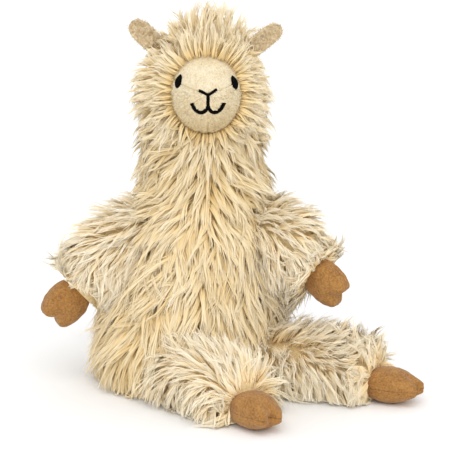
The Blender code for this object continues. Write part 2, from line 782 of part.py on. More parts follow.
def mouth_line():
    """Two hanging curves that meet at the foot of the stem."""
    half, low = MOUTH_HALF_WIDTH, -LIP_STEM - MOUTH_DROP
    left = [(-half, -LIP_STEM + MOUTH_CORNER_RISE)]
    left += [(-half * out, low + MOUTH_DROP * up) for out, up in MOUTH_POINT_SHARES]
    return left + [(0, -LIP_STEM)] + [(-x, y) for x, y in reversed(left)]


def build_ears(skin):
    sockets = []
    for name, rows in (("ear_right", RIGHT_EAR), ("ear_left", LEFT_EAR)):
        bm = bmesh.new()
        _, first, last = lattice(bm, tube_rings(rows, EAR_COLUMNS, FRONT, ear_shape))
        close_tube(bm, first, last)
        add_object(name, bm, skin)
        rings = tube_rings(rows, EAR_COLUMNS, FRONT, ear_shape, SEAM_GAP)
        sockets.append(plain_tube(f"{name} socket", rings))
    return sockets


def build_hooves(suedette):
    """Uppers and soles, and for each hoof the cutter that seats it in its cuff."""
    seats = {}
    for name, ((length, width, thickness, taper), place) in HOOVES.items():
        outline = hoof_outline(length, width, taper, CLEFT_SHARE, 0)
        for piece, side in (("upper", 1), ("sole", -1)):
            bm = bmesh.new()
            hoof_piece(bm, outline, thickness / 2, side)
            add_object(f"{name}_hoof_{piece}", bm, suedette).matrix_world = place
        bm = bmesh.new()
        grown = hoof_outline(length, width, taper, 0, SEAM_GAP)
        whole_hoof(bm, grown, thickness / 2 + SEAM_GAP)
        seats[name] = add_cutter(f"{name} hoof seat", bm)
        seats[name].matrix_world = place
    return seats


def from_hoof(point, name):
    """Distance of a point from a hoof, taken as a flattened round."""
    (length, width, thickness, taper), place = HOOVES[name]
    local = place.inverted() @ point
    size = (length / 2, width / 2 * (1 + taper), thickness / 2)
    ratio = Vector([a / b for a, b in zip(local, size)]).length
    return (ratio - 1) * thickness / 2


def build_limb(name, rows, columns, hoof, tip_of, pelt, is_free, floor=None):
    """A sleeve or trouser with its locks, and the socket that it needs in the body."""
    bm = bmesh.new()
    cells, first, last = lattice(bm, tube_rings(rows, columns, UP, round_shape, 0, floor))
    bm.normal_update()
    raise_locks(bm, cells, tip_of, is_free, random.Random(name))
    close_tube(bm, first, last)
    limb = add_object(name, bm, pelt, smooth=False)
    boolean(limb, hoof)
    return plain_tube(f"{name} socket", tube_rings(rows, columns, UP, round_shape, SEAM_GAP))


def along_tube(rows, point):
    """Direction of a tube next to a point, and the way out of it there."""
    nearest = int(np.argmin(np.linalg.norm(rows[:, :3] - np.array(point), axis=1)))
    ahead = Vector(rows[min(nearest + 1, len(rows) - 1)][:3]) - Vector(rows[max(nearest - 1, 0)][:3])
    ahead.normalize()
    out = point - Vector(rows[nearest][:3])
    out -= ahead * out.dot(ahead)
    return ahead, out.normalized()


def arm_tip(rows):
    """Locks of a sleeve lie towards the hand, and hang long below it."""
    def tip(root):
        ahead, out = along_tube(rows, root)
        under = max(0.0, -out.z)
        onward = ARM_LOCK_AHEAD_SHARE + (UNDERARM_AHEAD_SHARE - ARM_LOCK_AHEAD_SHARE) * under
        fall = ARM_LOCK_FALL_SHARE + (UNDERARM_FALL_SHARE - ARM_LOCK_FALL_SHARE) * under
        lean = (ahead * onward + out * ARM_LOCK_OUT_SHARE - UP * fall).normalized()
        return root + lean * (ARM_LOCK_LENGTH + ARM_LOCK_HANG * under**2)
    return tip


def leg_tip(rows):
    """Locks of a trouser stand out and lie towards the foot."""
    def tip(root):
        ahead, out = along_tube(rows, root)
        lean = (ahead * LEG_LOCK_AHEAD_SHARE + out * LEG_LOCK_OUT_SHARE).normalized()
        return root + lean * LEG_LOCK_LENGTH
    return tip


def body_tip(root):
    """Locks hang down the body, stand out from the face and stand up on the crown."""
    out = root - body_at(root.z)[2]
    out.z = 0
    out.normalize()
    fall = math.sqrt(BODY_LOCK_LENGTH**2 - BODY_LOCK_LIFT**2)
    hang = out * BODY_LOCK_LIFT - UP * fall
    away = root - FACE_CENTRE
    away.y *= HEAD_LOCK_DEPTH_SHARE
    stand = away.normalized() * HEAD_LOCK_LENGTH + out * HEAD_LOCK_LIFT
    upright = UP * CROWN_LOCK_LENGTH + out * CROWN_LOCK_LIFT
    head = ease(root.z, NECK_TOP_HEIGHT - HEAD_PILE_OVERLAP, HEAD_HEIGHT - HEAD_PILE_OVERLAP)
    crown = ease(root.z, BROW_HEIGHT - HEAD_PILE_OVERLAP, CROWN_HEIGHT)
    return root + hang.lerp(stand, head).lerp(upright, crown)


def build_body(pelt, sockets):
    rings = []
    for k, height in enumerate(BODY[:, 0]):
        width, depth, middle = body_at(height)
        ring = []
        for j in range(BODY_COLUMNS):
            angle = 2 * math.pi * (j + k % 2 / 2) / BODY_COLUMNS
            ring.append(middle + Vector((width * math.sin(angle), -depth * math.cos(angle), 0)))
        rings.append(ring)
    bm = bmesh.new()
    cells, seat, crown = lattice(bm, rings)
    inner = []
    for j in range(0, BODY_COLUMNS, 3):
        halfway = crown[j].co.lerp(body_at(CROWN_HEIGHT)[2], CROWN_CAP_SHARE)
        inner.append(bm.verts.new(halfway + UP * CROWN_HALF_WIDTH * CROWN_CAP_RISE_SHARE))
    count = len(inner)
    for i in range(count):
        around = [crown[(3 * i + step) % BODY_COLUMNS] for step in range(4)]
        cells.append(bm.faces.new(around + [inner[(i + 1) % count], inner[i]]))
    cells.append(bm.faces.new(inner))
    bm.faces.new(seat)
    bm.normal_update()
    raise_locks(bm, cells, body_tip, free_of_limbs, random.Random("body"))
    body = add_object("body", bm, pelt, smooth=False)
    for socket in sockets:
        boolean(body, socket)


def free_of_limbs(point):
    """Whether pile of the body may reach a point."""
    if point.z < 0:
        return False
    limbs = (RIGHT_ARM, LEFT_ARM, RIGHT_LEG, LEFT_LEG)
    apart = min(from_tube(point, rows) for rows in limbs) - BODY_LOCK_LIFT
    apart = min(apart, from_tube(point, RIGHT_EAR), from_tube(point, LEFT_EAR))
    return apart > PILE_CLEARANCE and outside_face(point) > FACE_CLEARANCE


def free_of_body(rows, hoof, others):
    """Whether pile of a limb may reach a point, as a test for that limb."""
    def test(point):
        outside = outside_body(point)
        near = from_tube(point, rows) <= BODY_LOCK_LIFT and outside > PILE_CLEARANCE
        if not near and outside < LIMB_TO_BODY:
            return False
        if from_hoof(point, hoof) < 2 * PILE_CLEARANCE:
            return False
        return all(from_tube(point, other) > LIMB_TO_LIMB for other in others)
    return test


def main():
    for obj in list(bpy.data.objects):
        bpy.data.objects.remove(obj, do_unlink=True)
    body_pelt = material("long pile plush", FUR_COLOUR, 0.9)
    limb_pelt = material("pale long pile plush", LIMB_FUR_COLOUR, 0.9)
    face_skin = material("short pile plush", FACE_COLOUR, 0.85)
    ear_skin = material("taupe short pile plush", EAR_COLOUR, 0.85)
    suedette = material("brown suedette", HOOF_COLOUR, 0.8)
    bead = material("black glossy bead", BLACK, 0.08)
    thread = material("black embroidery thread", BLACK, 0.5)

    sockets = build_ears(ear_skin)
    seats = build_hooves(suedette)
    limbs = (
        ("arm_right", RIGHT_ARM, ARM_COLUMNS, "hand_right", arm_tip, (RIGHT_LEG,), None),
        ("arm_left", LEFT_ARM, ARM_COLUMNS, "hand_left", arm_tip, (LEFT_LEG,), None),
        ("leg_right", RIGHT_LEG, LEG_COLUMNS, "foot_right", leg_tip, (LEFT_LEG,), 0),
        ("leg_left", LEFT_LEG, LEG_COLUMNS, "foot_left", leg_tip, (RIGHT_LEG,), 0),
    )
    for name, rows, columns, hoof, tips, others, floor in limbs:
        free = free_of_body(rows, hoof, others)
        sockets.append(
            build_limb(name, rows, columns, seats[hoof], tips(rows), limb_pelt, free, floor)
        )
    bm = bmesh.new()
    face_egg(bm, SEAM_GAP)
    sockets.append(add_cutter("face socket", bm))
    build_face(face_skin, bead, thread)
    build_body(body_pelt, sockets)


main()
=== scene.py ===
# %% [markdown]
# # A plush llama, and how to make its fur
#
# The toy is a stuffed bag of long-pile plush with a small short-pile face, flat ears and
# suedette hooves. This script dresses the solids of the CAD part, which stay where they are.
# Everything is in metres, +Z is up and the toy looks along -Y.

# %% Load the frame
import math

import bmesh
import bpy
import numpy as np
from mathutils import Matrix, Vector


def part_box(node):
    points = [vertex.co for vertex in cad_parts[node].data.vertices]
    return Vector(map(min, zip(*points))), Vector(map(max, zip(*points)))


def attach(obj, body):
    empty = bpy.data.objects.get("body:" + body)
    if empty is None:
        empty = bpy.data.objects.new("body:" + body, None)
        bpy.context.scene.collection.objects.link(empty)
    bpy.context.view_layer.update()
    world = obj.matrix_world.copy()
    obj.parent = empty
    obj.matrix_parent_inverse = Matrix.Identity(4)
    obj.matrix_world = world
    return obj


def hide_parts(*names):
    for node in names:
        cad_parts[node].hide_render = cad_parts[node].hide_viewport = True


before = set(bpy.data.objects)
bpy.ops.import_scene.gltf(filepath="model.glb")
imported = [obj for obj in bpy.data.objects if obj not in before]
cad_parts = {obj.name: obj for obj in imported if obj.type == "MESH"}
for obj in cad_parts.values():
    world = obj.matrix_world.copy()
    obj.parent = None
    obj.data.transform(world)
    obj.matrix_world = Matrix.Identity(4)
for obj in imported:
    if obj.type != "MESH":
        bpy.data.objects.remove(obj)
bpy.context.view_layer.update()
MM = 0.001
UP = np.array((0.0, 0.0, 1.0))
FRONT = np.array((0.0, -1.0, 0.0))
print("solids in the frame:", len(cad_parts))

# %% [markdown]
# ## Small helpers
#
# Colours are written as sRGB hex and turned into linear light once. One function adds a
# shader node, sets it and links its inputs, and every material below is made with it.

# %% Colours and nodes
def linear(hex_colour):
    channels = [int(hex_colour[i : i + 2], 16) / 255 for i in (1, 3, 5)]
    return [c / 12.92 if c < 0.04045 else ((c + 0.055) / 1.055) ** 2.4 for c in channels] + [1]


def add_node(tree, kind, inputs=None, stops=None, **settings):
    made = tree.nodes.new(kind)
    for key, value in settings.items():
        setattr(made, key, value)
    for key, value in (inputs or {}).items():
        if isinstance(value, bpy.types.NodeSocket):
            tree.links.new(value, made.inputs[key])
        else:
            made.inputs[key].default_value = value
    if stops:
        slots = made.color_ramp.elements
        while len(slots) < len(stops):
            slots.new(0.5)
        for slot, (place, colour) in zip(slots, stops):
            slot.position = place
            slot.color = linear(colour)
    return made


def new_material(name, **sockets):
    made = bpy.data.materials.new(name)
    made.use_nodes = True
    shader = made.node_tree.nodes["Principled BSDF"]
    for key, value in sockets.items():
        shader.inputs[key.replace("_", " ")].default_value = value
    return made, made.node_tree, shader


def ramp(tree, value, stops):
    return add_node(tree, "ShaderNodeValToRGB", {"Fac": value}, stops=stops).outputs["Color"]


def own_place(tree):
    return add_node(tree, "ShaderNodeTexCoord").outputs["Object"]


def speckle(tree, scale, stops, detail=3, roughness=0.5):
    """Noise over the object's own coordinates, as a height and as a colour."""
    noise = add_node(
        tree, "ShaderNodeTexNoise",
        {"Vector": own_place(tree), "Scale": scale, "Detail": detail, "Roughness": roughness},
    )
    height = noise.outputs["Fac"]
    return height, ramp(tree, height, stops)


def mix_colours(tree, share, first, second, blend="MIX"):
    made = add_node(
        tree, "ShaderNodeMix", {0: share, 6: first, 7: second}, data_type="RGBA", blend_type=blend
    )
    return made.outputs[2]


def roughen(tree, shader, height, strength, distance):
    bump = add_node(
        tree, "ShaderNodeBump", {"Height": height, "Strength": strength, "Distance": distance}
    )
    tree.links.new(bump.outputs["Normal"], shader.inputs["Normal"])


# %% [markdown]
# ## Vector arithmetic on many points at once
#
# Fur is thousands of small curves, so all shapes here are numpy arrays whose last axis
# holds X, Y and Z.

# %% Vectors
def unit(vectors):
    return vectors / np.maximum(np.linalg.norm(vectors, axis=-1, keepdims=True), 1e-12)


def ease(value, low, high):
    t = np.clip((value - low) / (high - low), 0, 1)
    return t * t * (3 - 2 * t)


def bell(value, width):
    return np.exp(-((value / width) ** 2))


def smooth_through(stations, count, measured=3):
    """Rows at an even spacing along a smooth curve through the stations."""
    knots = np.array(stations, float) * MM
    knots = np.vstack([2 * knots[0] - knots[1], knots, 2 * knots[-1] - knots[-2]])
    fine = []
    for before, start, end, after in zip(knots, knots[1:], knots[2:], knots[3:]):
        t = np.linspace(0, 1, 24, endpoint=False)[:, None]
        bend = 2 * before - 5 * start + 4 * end - after
        twist = 3 * start - before - 3 * end + after
        fine.append(start + ((end - before) * t + bend * t**2 + twist * t**3) / 2)
    fine = np.vstack(fine + [knots[-2:-1]])
    steps = np.linalg.norm(np.diff(fine[:, :measured], axis=0), axis=1)
    run = np.concatenate([[0], np.cumsum(steps)])
    wanted = np.linspace(0, run[-1], count)
    return np.array([np.interp(wanted, run, column) for column in fine.T]).T


def turns(columns):
    """A row of angles once round."""
    return np.linspace(0, 2 * math.pi, columns, endpoint=False)[None]


def round_about(rows, columns):
    """The shares along and the angles round of the points of a tube."""
    zeros = np.zeros((rows, columns))
    return np.linspace(0, 1, rows)[:, None] + zeros, turns(columns) + zeros


def relief(points, wavelength, seed, waves=28):
    """A soft random field from -1 to 1, made of plane waves in all directions."""
    rng = np.random.default_rng(seed)
    ways = unit(rng.normal(size=(waves, 3))) / (wavelength * rng.uniform(0.7, 1.5, (waves, 1)))
    phase = rng.uniform(0, 2 * math.pi, waves)
    return np.clip(np.sin(2 * math.pi * points @ ways.T + phase).sum(-1) / math.sqrt(waves), -1, 1)


# %% [markdown]
# ## Skins
#
# A pelt is cut as a tube and stuffed. Each skin here is a row of ellipses along a smooth
# line, with the same stations as the solids. The columns are X, Y and Z of the middle,
# half width and half depth, in millimetres.

# %% Stations of the skins
BODY_STATIONS = (
    (-10, 0, 0, 58, 54), (-10, 0, 34, 64, 60), (-6, 0, 85, 56, 51), (-2, 0, 130, 45, 42),
    (0, 0, 160, 40, 37), (0, -4, 196, 37, 35), (0, -8, 245, 40, 40), (0, -8, 267, 33, 33),
    (0, -8, 280, 19, 19), (0, -8, 286, 6, 6),
)
ARM_RIGHT_STATIONS = (
    (-31, 0, 124, 17, 17), (-47, -3, 119, 19, 21), (-69, -8, 106, 20, 24), (-99, -13.5, 79, 17, 17)
)
ARM_LEFT_STATIONS = (
    (27, 0, 126, 17, 17), (45, -6, 123, 19, 21), (64, -17, 116, 20, 24), (76, -24, 107, 19, 21),
    (89, -32, 97, 17, 17),
)
LEG_RIGHT_STATIONS = (
    (-20, -40, 20, 23, 23), (-4, -63, 19, 23, 23), (12, -81, 17, 23, 23), (25, -96, 16, 21, 21),
    (35, -110, 15, 18, 18),
)
LEG_LEFT_STATIONS = (
    (30, -18, 20, 23, 23), (65, -28, 19, 23, 23), (96, -35, 17, 23, 23), (118, -44, 16, 21, 21),
    (136, -52, 15, 18, 18),
)


def skin(stations, facing, rows=60, upright=False):
    """Middle, two axes and two half sizes of each ellipse along the skin."""
    table = smooth_through(stations, rows)
    middle = table[:, :3]
    ahead = unit(np.gradient(middle, axis=0))
    if upright:
        side, lift = np.tile((1.0, 0, 0), (rows, 1)), np.tile(facing, (rows, 1))
    else:
        side = unit(np.cross(ahead, facing))
        lift = unit(np.cross(side, ahead))
    return np.hstack([middle, side, lift, table[:, 3:5]])


def row_at(rows, share):
    """The row of a skin at shares of its length, between two of its rows."""
    place = np.clip(share, 0, 1) * (len(rows) - 1)
    row = np.array([np.interp(place, np.arange(len(rows)), column) for column in rows.T])
    return np.moveaxis(row, 0, -1)


def skin_at(rows, share, angle):
    """Points of a skin at shares of its length and angles round it."""
    row = row_at(rows, share)
    wide, high = row[..., 9:10], row[..., 10:11]
    angle = np.asarray(angle)[..., None]
    across = row[..., 3:6] * wide * np.cos(angle)
    return row[..., :3] + across + row[..., 6:9] * high * np.sin(angle)


def skin_normal(rows, share, angle):
    over = skin_at(rows, share, angle + 0.02) - skin_at(rows, share, angle - 0.02)
    along = skin_at(rows, share + 0.01, angle) - skin_at(rows, share - 0.01, angle)
    normal = unit(np.cross(over, along))
    middle = skin_at(rows, share, angle) - skin_at(rows, share, angle + math.pi)
    return np.where((normal * middle).sum(-1, keepdims=True) < 0, -normal, normal)


BODY = skin(BODY_STATIONS, FRONT, 90, upright=True)
ARMS = {"right": skin(ARM_RIGHT_STATIONS, UP), "left": skin(ARM_LEFT_STATIONS, UP)}
LEGS = {"right": skin(LEG_RIGHT_STATIONS, UP), "left": skin(LEG_LEFT_STATIONS, UP)}
print("body skin from", BODY[0, :3].round(3), "to", BODY[-1, :3].round(3))

# %% [markdown]
# ## Meshes from arrays
#
# A sheet of points becomes a grid of quads. A stuffed piece is displaced a little along
# its normals, because filling never lies quite even.

# %% Mesh makers
def add_object(name, data, towards=None):
    """Puts data into the scene, its Z axis towards a direction if one is given."""
    made = bpy.data.objects.new(name, data)
    if towards is not None:
        made.rotation_mode = "QUATERNION"
        made.rotation_quaternion = Vector(towards).to_track_quat("Z", "Y")
    bpy.context.scene.collection.objects.link(made)
    return made


def to_object(name, points, faces, made_of, uv=None):
    mesh = bpy.data.meshes.new(name)
    faces = np.asarray(faces, np.int32)
    mesh.vertices.add(len(points))
    mesh.vertices.foreach_set("co", np.ascontiguousarray(points, np.float32).ravel())
    mesh.loops.add(faces.size)
    mesh.loops.foreach_set("vertex_index", faces.ravel())
    mesh.polygons.add(len(faces))
    starts = np.arange(0, faces.size, faces.shape[1], dtype=np.int32)
    mesh.polygons.foreach_set("loop_start", starts)
    if uv is not None:
        layer = mesh.uv_layers.new(name="OFBake")
        layer.data.foreach_set("uv", uv[faces.ravel()].astype(np.float32).ravel())
    mesh.update(calc_edges=True)
    mesh.shade_smooth()
    mesh.materials.append(made_of)
    return add_object(name, mesh)


WELD = 0.02 * MM


def close_and_turn(obj):
    """Welds the seam of a grid, fills its ends and turns all faces out."""
    bm = bmesh.new()
    bm.from_mesh(obj.data)
    bmesh.ops.remove_doubles(bm, verts=bm.verts, dist=WELD)
    bmesh.ops.holes_fill(bm, edges=bm.edges)
    bmesh.ops.recalc_face_normals(bm, faces=bm.faces)
    bm.to_mesh(obj.data)
    bm.free()
    obj.data.shade_smooth()


def grid(name, points, made_of, closed=True):
    """A sheet of points, rows by columns, as an object."""
    rows, columns = points.shape[:2]
    index = np.arange(rows * columns).reshape(rows, columns)
    ahead = np.roll(index, -1, axis=1) if closed else index[:, 1:]
    here = index if closed else index[:, :-1]
    faces = np.stack([here[:-1], ahead[:-1], ahead[1:], here[1:]], axis=-1).reshape(-1, 4)
    made = to_object(name, points.reshape(-1, 3), faces, made_of)
    close_and_turn(made)
    return made


def finish_piece(piece, node=None):
    """Says what a piece rides on and hides the solid that it stands for."""
    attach(piece, "root")
    if node:
        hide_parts(node)


# %% [markdown]
# ## Pelts under the pile
#
# Between the locks one looks down to the backing of the plush. Its tan colour, darker and warmer
# than the tips, is painted shade where little light gets there, and that gives long fur its depth.

# %% Backing of the plush
backing, tree, shader = new_material("knitted plush backing", Roughness=0.95)
# Painted shade: the tan of the backing stands for the shade between the locks.
_, colour = speckle(tree, 420, [(0.3, "#D0B47E"), (0.7, "#E6D0A4")])
tree.links.new(colour, shader.inputs["Base Color"])
PELT_INSET = 0.6 * MM
PELT_LUMPS, PELT_LUMP_SIZE = 0.5 * MM, 9 * MM


def pelt(name, rows, node, around=48, along=50):
    share, angle = round_about(along, around)
    points = skin_at(rows, share, angle)
    inward = PELT_INSET + PELT_LUMPS * relief(points, PELT_LUMP_SIZE, 3)[..., None]
    points -= skin_normal(rows, share, angle) * inward
    points[..., 2] = np.maximum(points[..., 2], 0)
    piece = grid(name, points, backing)
    finish_piece(piece, node)


pelt("body_pelt", BODY, "body", 80, 90)
for side in ("right", "left"):
    pelt(f"sleeve_{side}", ARMS[side], f"arm_{side}")
    pelt(f"trouser_{side}", LEGS[side], f"leg_{side}")
print("pelts made")

# %% [markdown]
# ## Hooves
#
# Each hoof is cut from two pieces of suedette, sewn round the edge, turned and filled. The
# seam pulls in and the cloth puckers beside it. At the toe the outline has a cleft.

# %% Suedette
suedette, tree, shader = new_material(
    "brown suedette", Roughness=0.92, Sheen_Weight=0.15, Sheen_Roughness=0.5
)
grain = [(0.36, "#744A1E"), (0.5, "#A57539"), (0.66, "#C08F52")]
fuzz, fine = speckle(tree, 620, grain, 4, 0.7)
_, broad = speckle(tree, 110, [(0.35, "#8F6130"), (0.65, "#B48447")], 3, 0.6)
tree.links.new(mix_colours(tree, 0.45, fine, broad), shader.inputs["Base Color"])
roughen(tree, shader, fuzz, 0.5, 0.4 * MM)

# %% [markdown]
# ### The stuffed shape of a hoof
#
# Sizes are in millimetres, angles in degrees. The taper widens the heel, thin makes the toe
# thinner than the middle, and the other numbers are shares of the half sizes.

# %% Shape of a hoof
HAND = dict(length=43, width=38, thick=22, taper=0.0, thin=0.1)
FOOT = dict(length=55, width=36, thick=27, taper=0.26, thin=0.4)
CLEFT_DEPTH, CLEFT_ANGLE = 0.34, 18
TOE_REACH, BLUNTNESS = 1.08, 0.22
CREASE_DEPTH, CREASE_WIDTH = 0.34, 2.8 * MM
SEAM_GROOVE, SEAM_SHARE, SEAM_GAP = 1.6 * MM, 0.07, 0.12 * MM
PUCKERS, PUCKER_HEIGHT = 34, 0.25 * MM
HOOF_LUMPS, HOOF_LUMP_SIZE = 0.22 * MM, 7 * MM


def hoof_sheet(size, side, rings=24, columns=112):
    """Points of one stuffed half, from the middle of its dome out to the seam."""
    angle = turns(columns)
    share = np.sin(np.linspace(0.004, 1, rings) * math.pi / 2)[:, None]
    turned = np.degrees(np.where(angle > math.pi, angle - 2 * math.pi, angle))
    dent = 1 - CLEFT_DEPTH * bell(turned, CLEFT_ANGLE) * share**2
    half = np.array((size["length"], size["width"])) * MM / 2
    toe = np.maximum(np.cos(angle), 0)
    blunt = 1 - BLUNTNESS * toe**0.3
    x = half[0] * np.where(toe > 0, TOE_REACH * toe**blunt, np.cos(angle)) * dent * share
    y = half[1] * np.sign(np.sin(angle)) * np.abs(np.sin(angle)) ** blunt * dent * share
    y = y * (1 - size["taper"] * np.cos(angle))
    dome = (1 - share**2.5) ** 0.62
    crease = CREASE_DEPTH * bell(y, CREASE_WIDTH)
    crease = 1 - crease * ease(x, half[0] * 0.3, half[0] * 0.8)
    z = size["thick"] * MM / 2 * dome * crease * (1 - size["thin"] * ease(x, 0, half[0]))
    near = bell(1 - share, SEAM_SHARE)
    pull = 1 - near * SEAM_GROOVE / half[1]
    z = z + near * PUCKER_HEIGHT * np.sin(angle * PUCKERS) * (1 - share) / SEAM_SHARE
    z = z + SEAM_GAP
    return np.stack([x * pull, y * pull, z * side], axis=-1)


def hoof_frame(name, size, lead, roll):
    """The matrix of a hoof, with its box in the middle of its two solids."""
    low = np.minimum(*[np.array(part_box(f"{name}_hoof_{p}")[0]) for p in ("upper", "sole")])
    high = np.maximum(*[np.array(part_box(f"{name}_hoof_{p}")[1]) for p in ("upper", "sole")])
    ahead = Vector(unit(np.array(lead, float)))
    side = Vector(UP).cross(ahead).normalized()
    place = Matrix((ahead, side, ahead.cross(side))).transposed().to_4x4()
    place = place @ Matrix.Rotation(math.radians(roll), 4, "X")
    both = np.concatenate([hoof_sheet(size, half).reshape(-1, 3) for half in (1, -1)])
    both = both @ np.array(place.to_3x3()).T
    place.translation = Vector((low + high) / 2 - (both.min(axis=0) + both.max(axis=0)) / 2)
    return place


def bearing(angle):
    return (math.cos(math.radians(angle)), -math.sin(math.radians(angle)), 0)


# The last number is the share of a hoof's half length that stays under the pile of its cuff
HOOVES = {
    "hand_right": (HAND, hoof_frame("hand_right", HAND, (-0.676, -0.142, -0.723), 74), 0.06),
    "hand_left": (HAND, hoof_frame("hand_left", HAND, (0.715, -0.419, -0.560), -74), 0.3),
    "foot_right": (FOOT, hoof_frame("foot_right", FOOT, bearing(60), 0), 0.25),
    "foot_left": (FOOT, hoof_frame("foot_left", FOOT, bearing(32), 0), 0.25),
}
for name, (size, place, _) in HOOVES.items():
    for half, side in (("upper", 1), ("sole", -1)):
        sheet = hoof_sheet(size, side)
        piece = grid(f"{name}_{half}", sheet, suedette)
        points = np.array([v.co for v in piece.data.vertices])
        out = unit(points + np.array((0, 0, side * 6 * MM)))
        points = points + out * (HOOF_LUMPS * relief(points, HOOF_LUMP_SIZE, 11))[:, None]
        points = points @ np.array(place.to_3x3()).T + np.array(place.translation)
        points[:, 2] = np.maximum(points[:, 2], 0)
        piece.data.vertices.foreach_set("co", points.astype(np.float32).ravel())
        piece.data.update()
        finish_piece(piece, f"{name}_hoof_{half}")
print("hooves made:", ", ".join(HOOVES))

# %% [markdown]
# ## Face
#
# The face is an egg of short-pile plush: a forehead and two cheeks, whose seams meet under
# the nose. Short pile hides its backing, but it lies in small ridges on the cheeks. The pile
# is brushed downwards. Towards the chin its colour is darkened as painted shade under the muzzle.

# %% Shape of the face
FACE_CENTRE = np.array((3.5, -41.83, 244)) * MM
FACE_SIZE = np.array((27.6, 33, 31)) * MM
NOSE = np.array((1.5, 5.2)) * MM
MUZZLE_TILT, MUZZLE_SWELL, MUZZLE_SPREAD = math.radians(7), 0.10, 36
MUZZLE_AHEAD = unit(np.array((0, -math.cos(MUZZLE_TILT), -math.sin(MUZZLE_TILT))))


def muzzle(direction):
    """How far the face swells in a direction from its centre."""
    apart = np.degrees(np.arccos(np.clip(unit(direction) @ MUZZLE_AHEAD, -1, 1)))
    return (1 + MUZZLE_SWELL * bell(apart, MUZZLE_SPREAD))[..., None]


def face_front(across, up):
    """Points of the face in front of offsets from its centre."""
    swell = np.ones(np.shape(across) + (1,))
    for _ in range(10):
        x = across / (FACE_SIZE[0] * swell[..., 0])
        z = up / (FACE_SIZE[2] * swell[..., 0])
        depth = np.sqrt(np.maximum(1 - x * x - z * z, 1e-4))
        direction = np.stack([x, -depth, z], axis=-1)
        swell = muzzle(direction)
    return FACE_CENTRE + direction * FACE_SIZE * swell


def face_normal(across, up):
    step = 0.5 * MM
    over = face_front(across + step, up) - face_front(across - step, up)
    rise = face_front(across, up + step) - face_front(across, up - step)
    return unit(np.cross(over, rise))


# %% Short pile
short_pile, tree, shader = new_material("short-pile plush", Roughness=0.95, Specular_IOR_Level=0.1)
grain = [(0.32, "#C9B387"), (0.5, "#E9DABA"), (0.68, "#F8EED8")]
fuzz, fine = speckle(tree, 900, grain, 4, 0.65)
_, broad = speckle(tree, 130, [(0.35, "#DECCA5"), (0.65, "#F4E8CC")])
# Painted shade: the colour is multiplied by a ramp that darkens it from the nose down to the chin.
CHIN_LEVEL, NOSE_LEVEL = 208 * MM, 252 * MM
axes = add_node(tree, "ShaderNodeSeparateXYZ", {"Vector": own_place(tree)})
rise = add_node(
    tree, "ShaderNodeMapRange",
    {"Value": axes.outputs["Z"], "From Min": CHIN_LEVEL, "From Max": NOSE_LEVEL},
)
painted_chin_shade = ramp(tree, rise.outputs["Result"], [(0, "#E0D0B2"), (0.5, "#F6F0E4"), (1, "#FFFFFF")])
pile_with_painted_shade = mix_colours(tree, 1.0, mix_colours(tree, 0.4, fine, broad), painted_chin_shade, "MULTIPLY")
tree.links.new(pile_with_painted_shade, shader.inputs["Base Color"])
roughen(tree, shader, fuzz, 0.6, 0.6 * MM)

# %% [markdown]
# ### The three panels
#
# Each panel is a fan round the nose, between two bearings in degrees. The last number is
# the height of its ridges in millimetres. A seam draws the cloth in, and a Solidify modifier
# makes it thick.

# %% Panels of the face
BROW_SEAM = 15
PANELS = {
    "forehead_panel": (BROW_SEAM, 180 - BROW_SEAM, 0.12),
    "cheek_right": (180 - BROW_SEAM, 270, 0.8),
    "cheek_left": (-90, BROW_SEAM, 0.8),
}
FAN_START, FAN_END = 1, 122
NOSE_SPREAD = 1.09
FACE_SEAM_DEPTH, FACE_SEAM_WIDTH = 0.55 * MM, 0.8 * MM
RIDGE_LENGTH, TUFT_LENGTH, TUFT_HEIGHT = 2.6 * MM, 1.3 * MM, 0.10 * MM
CLOTH_THICK = 1.2 * MM


def face_sheet(start, end, ridges, rings=60, columns=68):
    """A panel as a fan of points round the nose, on past the edge of the face."""
    bearing_of = np.radians(np.linspace(start, end, columns))[None]
    turn = np.radians(np.linspace(FAN_START, FAN_END, rings))[:, None]
    nose = NOSE / (FACE_SIZE[[0, 2]] * NOSE_SPREAD)
    way = np.stack([np.cos(bearing_of) / FACE_SIZE[0], np.sin(bearing_of) / FACE_SIZE[2]], -1)
    way = unit(way)
    along = (way * nose).sum(-1)
    reach = -along + np.sqrt(along**2 + 1 - (nose**2).sum())
    edge = nose + way * reach[..., None]
    front = nose + (edge - nose) * np.sin(np.minimum(turn, math.pi / 2))[..., None]
    behind = np.maximum(turn - math.pi / 2, 0)
    flat = np.where((turn < math.pi / 2)[..., None], front, edge * np.cos(behind)[..., None])
    depth = np.where(
        turn < math.pi / 2, -np.sqrt(np.maximum(1 - (flat**2).sum(-1), 0)), np.sin(behind)
    )
    direction = np.stack([flat[..., 0], depth, flat[..., 1]], axis=-1)
    points = FACE_CENTRE + direction * FACE_SIZE * muzzle(direction)
    from_nose = np.linalg.norm((front - nose) * FACE_SIZE[[0, 2]], axis=-1)
    beyond, before = bearing_of - bearing_of[0, 0], bearing_of[0, -1] - bearing_of
    from_seam = from_nose * np.minimum(beyond, before)
    out = unit(direction / FACE_SIZE)
    height = -FACE_SEAM_DEPTH * bell(from_seam, FACE_SEAM_WIDTH)
    height += ridges * MM * relief(points * np.array((1, 1, 1.5)), RIDGE_LENGTH, 21)
    height += TUFT_HEIGHT * relief(points, TUFT_LENGTH, 22)
    return points + out * height[..., None]


face_pieces = []
for name, (start, end, ridges) in PANELS.items():
    sheet = face_sheet(start, end, ridges)
    piece = grid(name.replace("panel", "plush") + "_face", sheet, short_pile, closed=False)
    shell = piece.modifiers.new("cloth and filling", "SOLIDIFY")
    shell.thickness = CLOTH_THICK
    shell.offset = -1
    finish_piece(piece, name)
    face_pieces.append(piece)
print("face panels made")

# %% [markdown]
# ## Eyes
#
# Each eye is a glossy black bead, almond shaped, with its point turned up to the brow. Its
# low specular level keeps it deep black in a white room, with one small highlight.

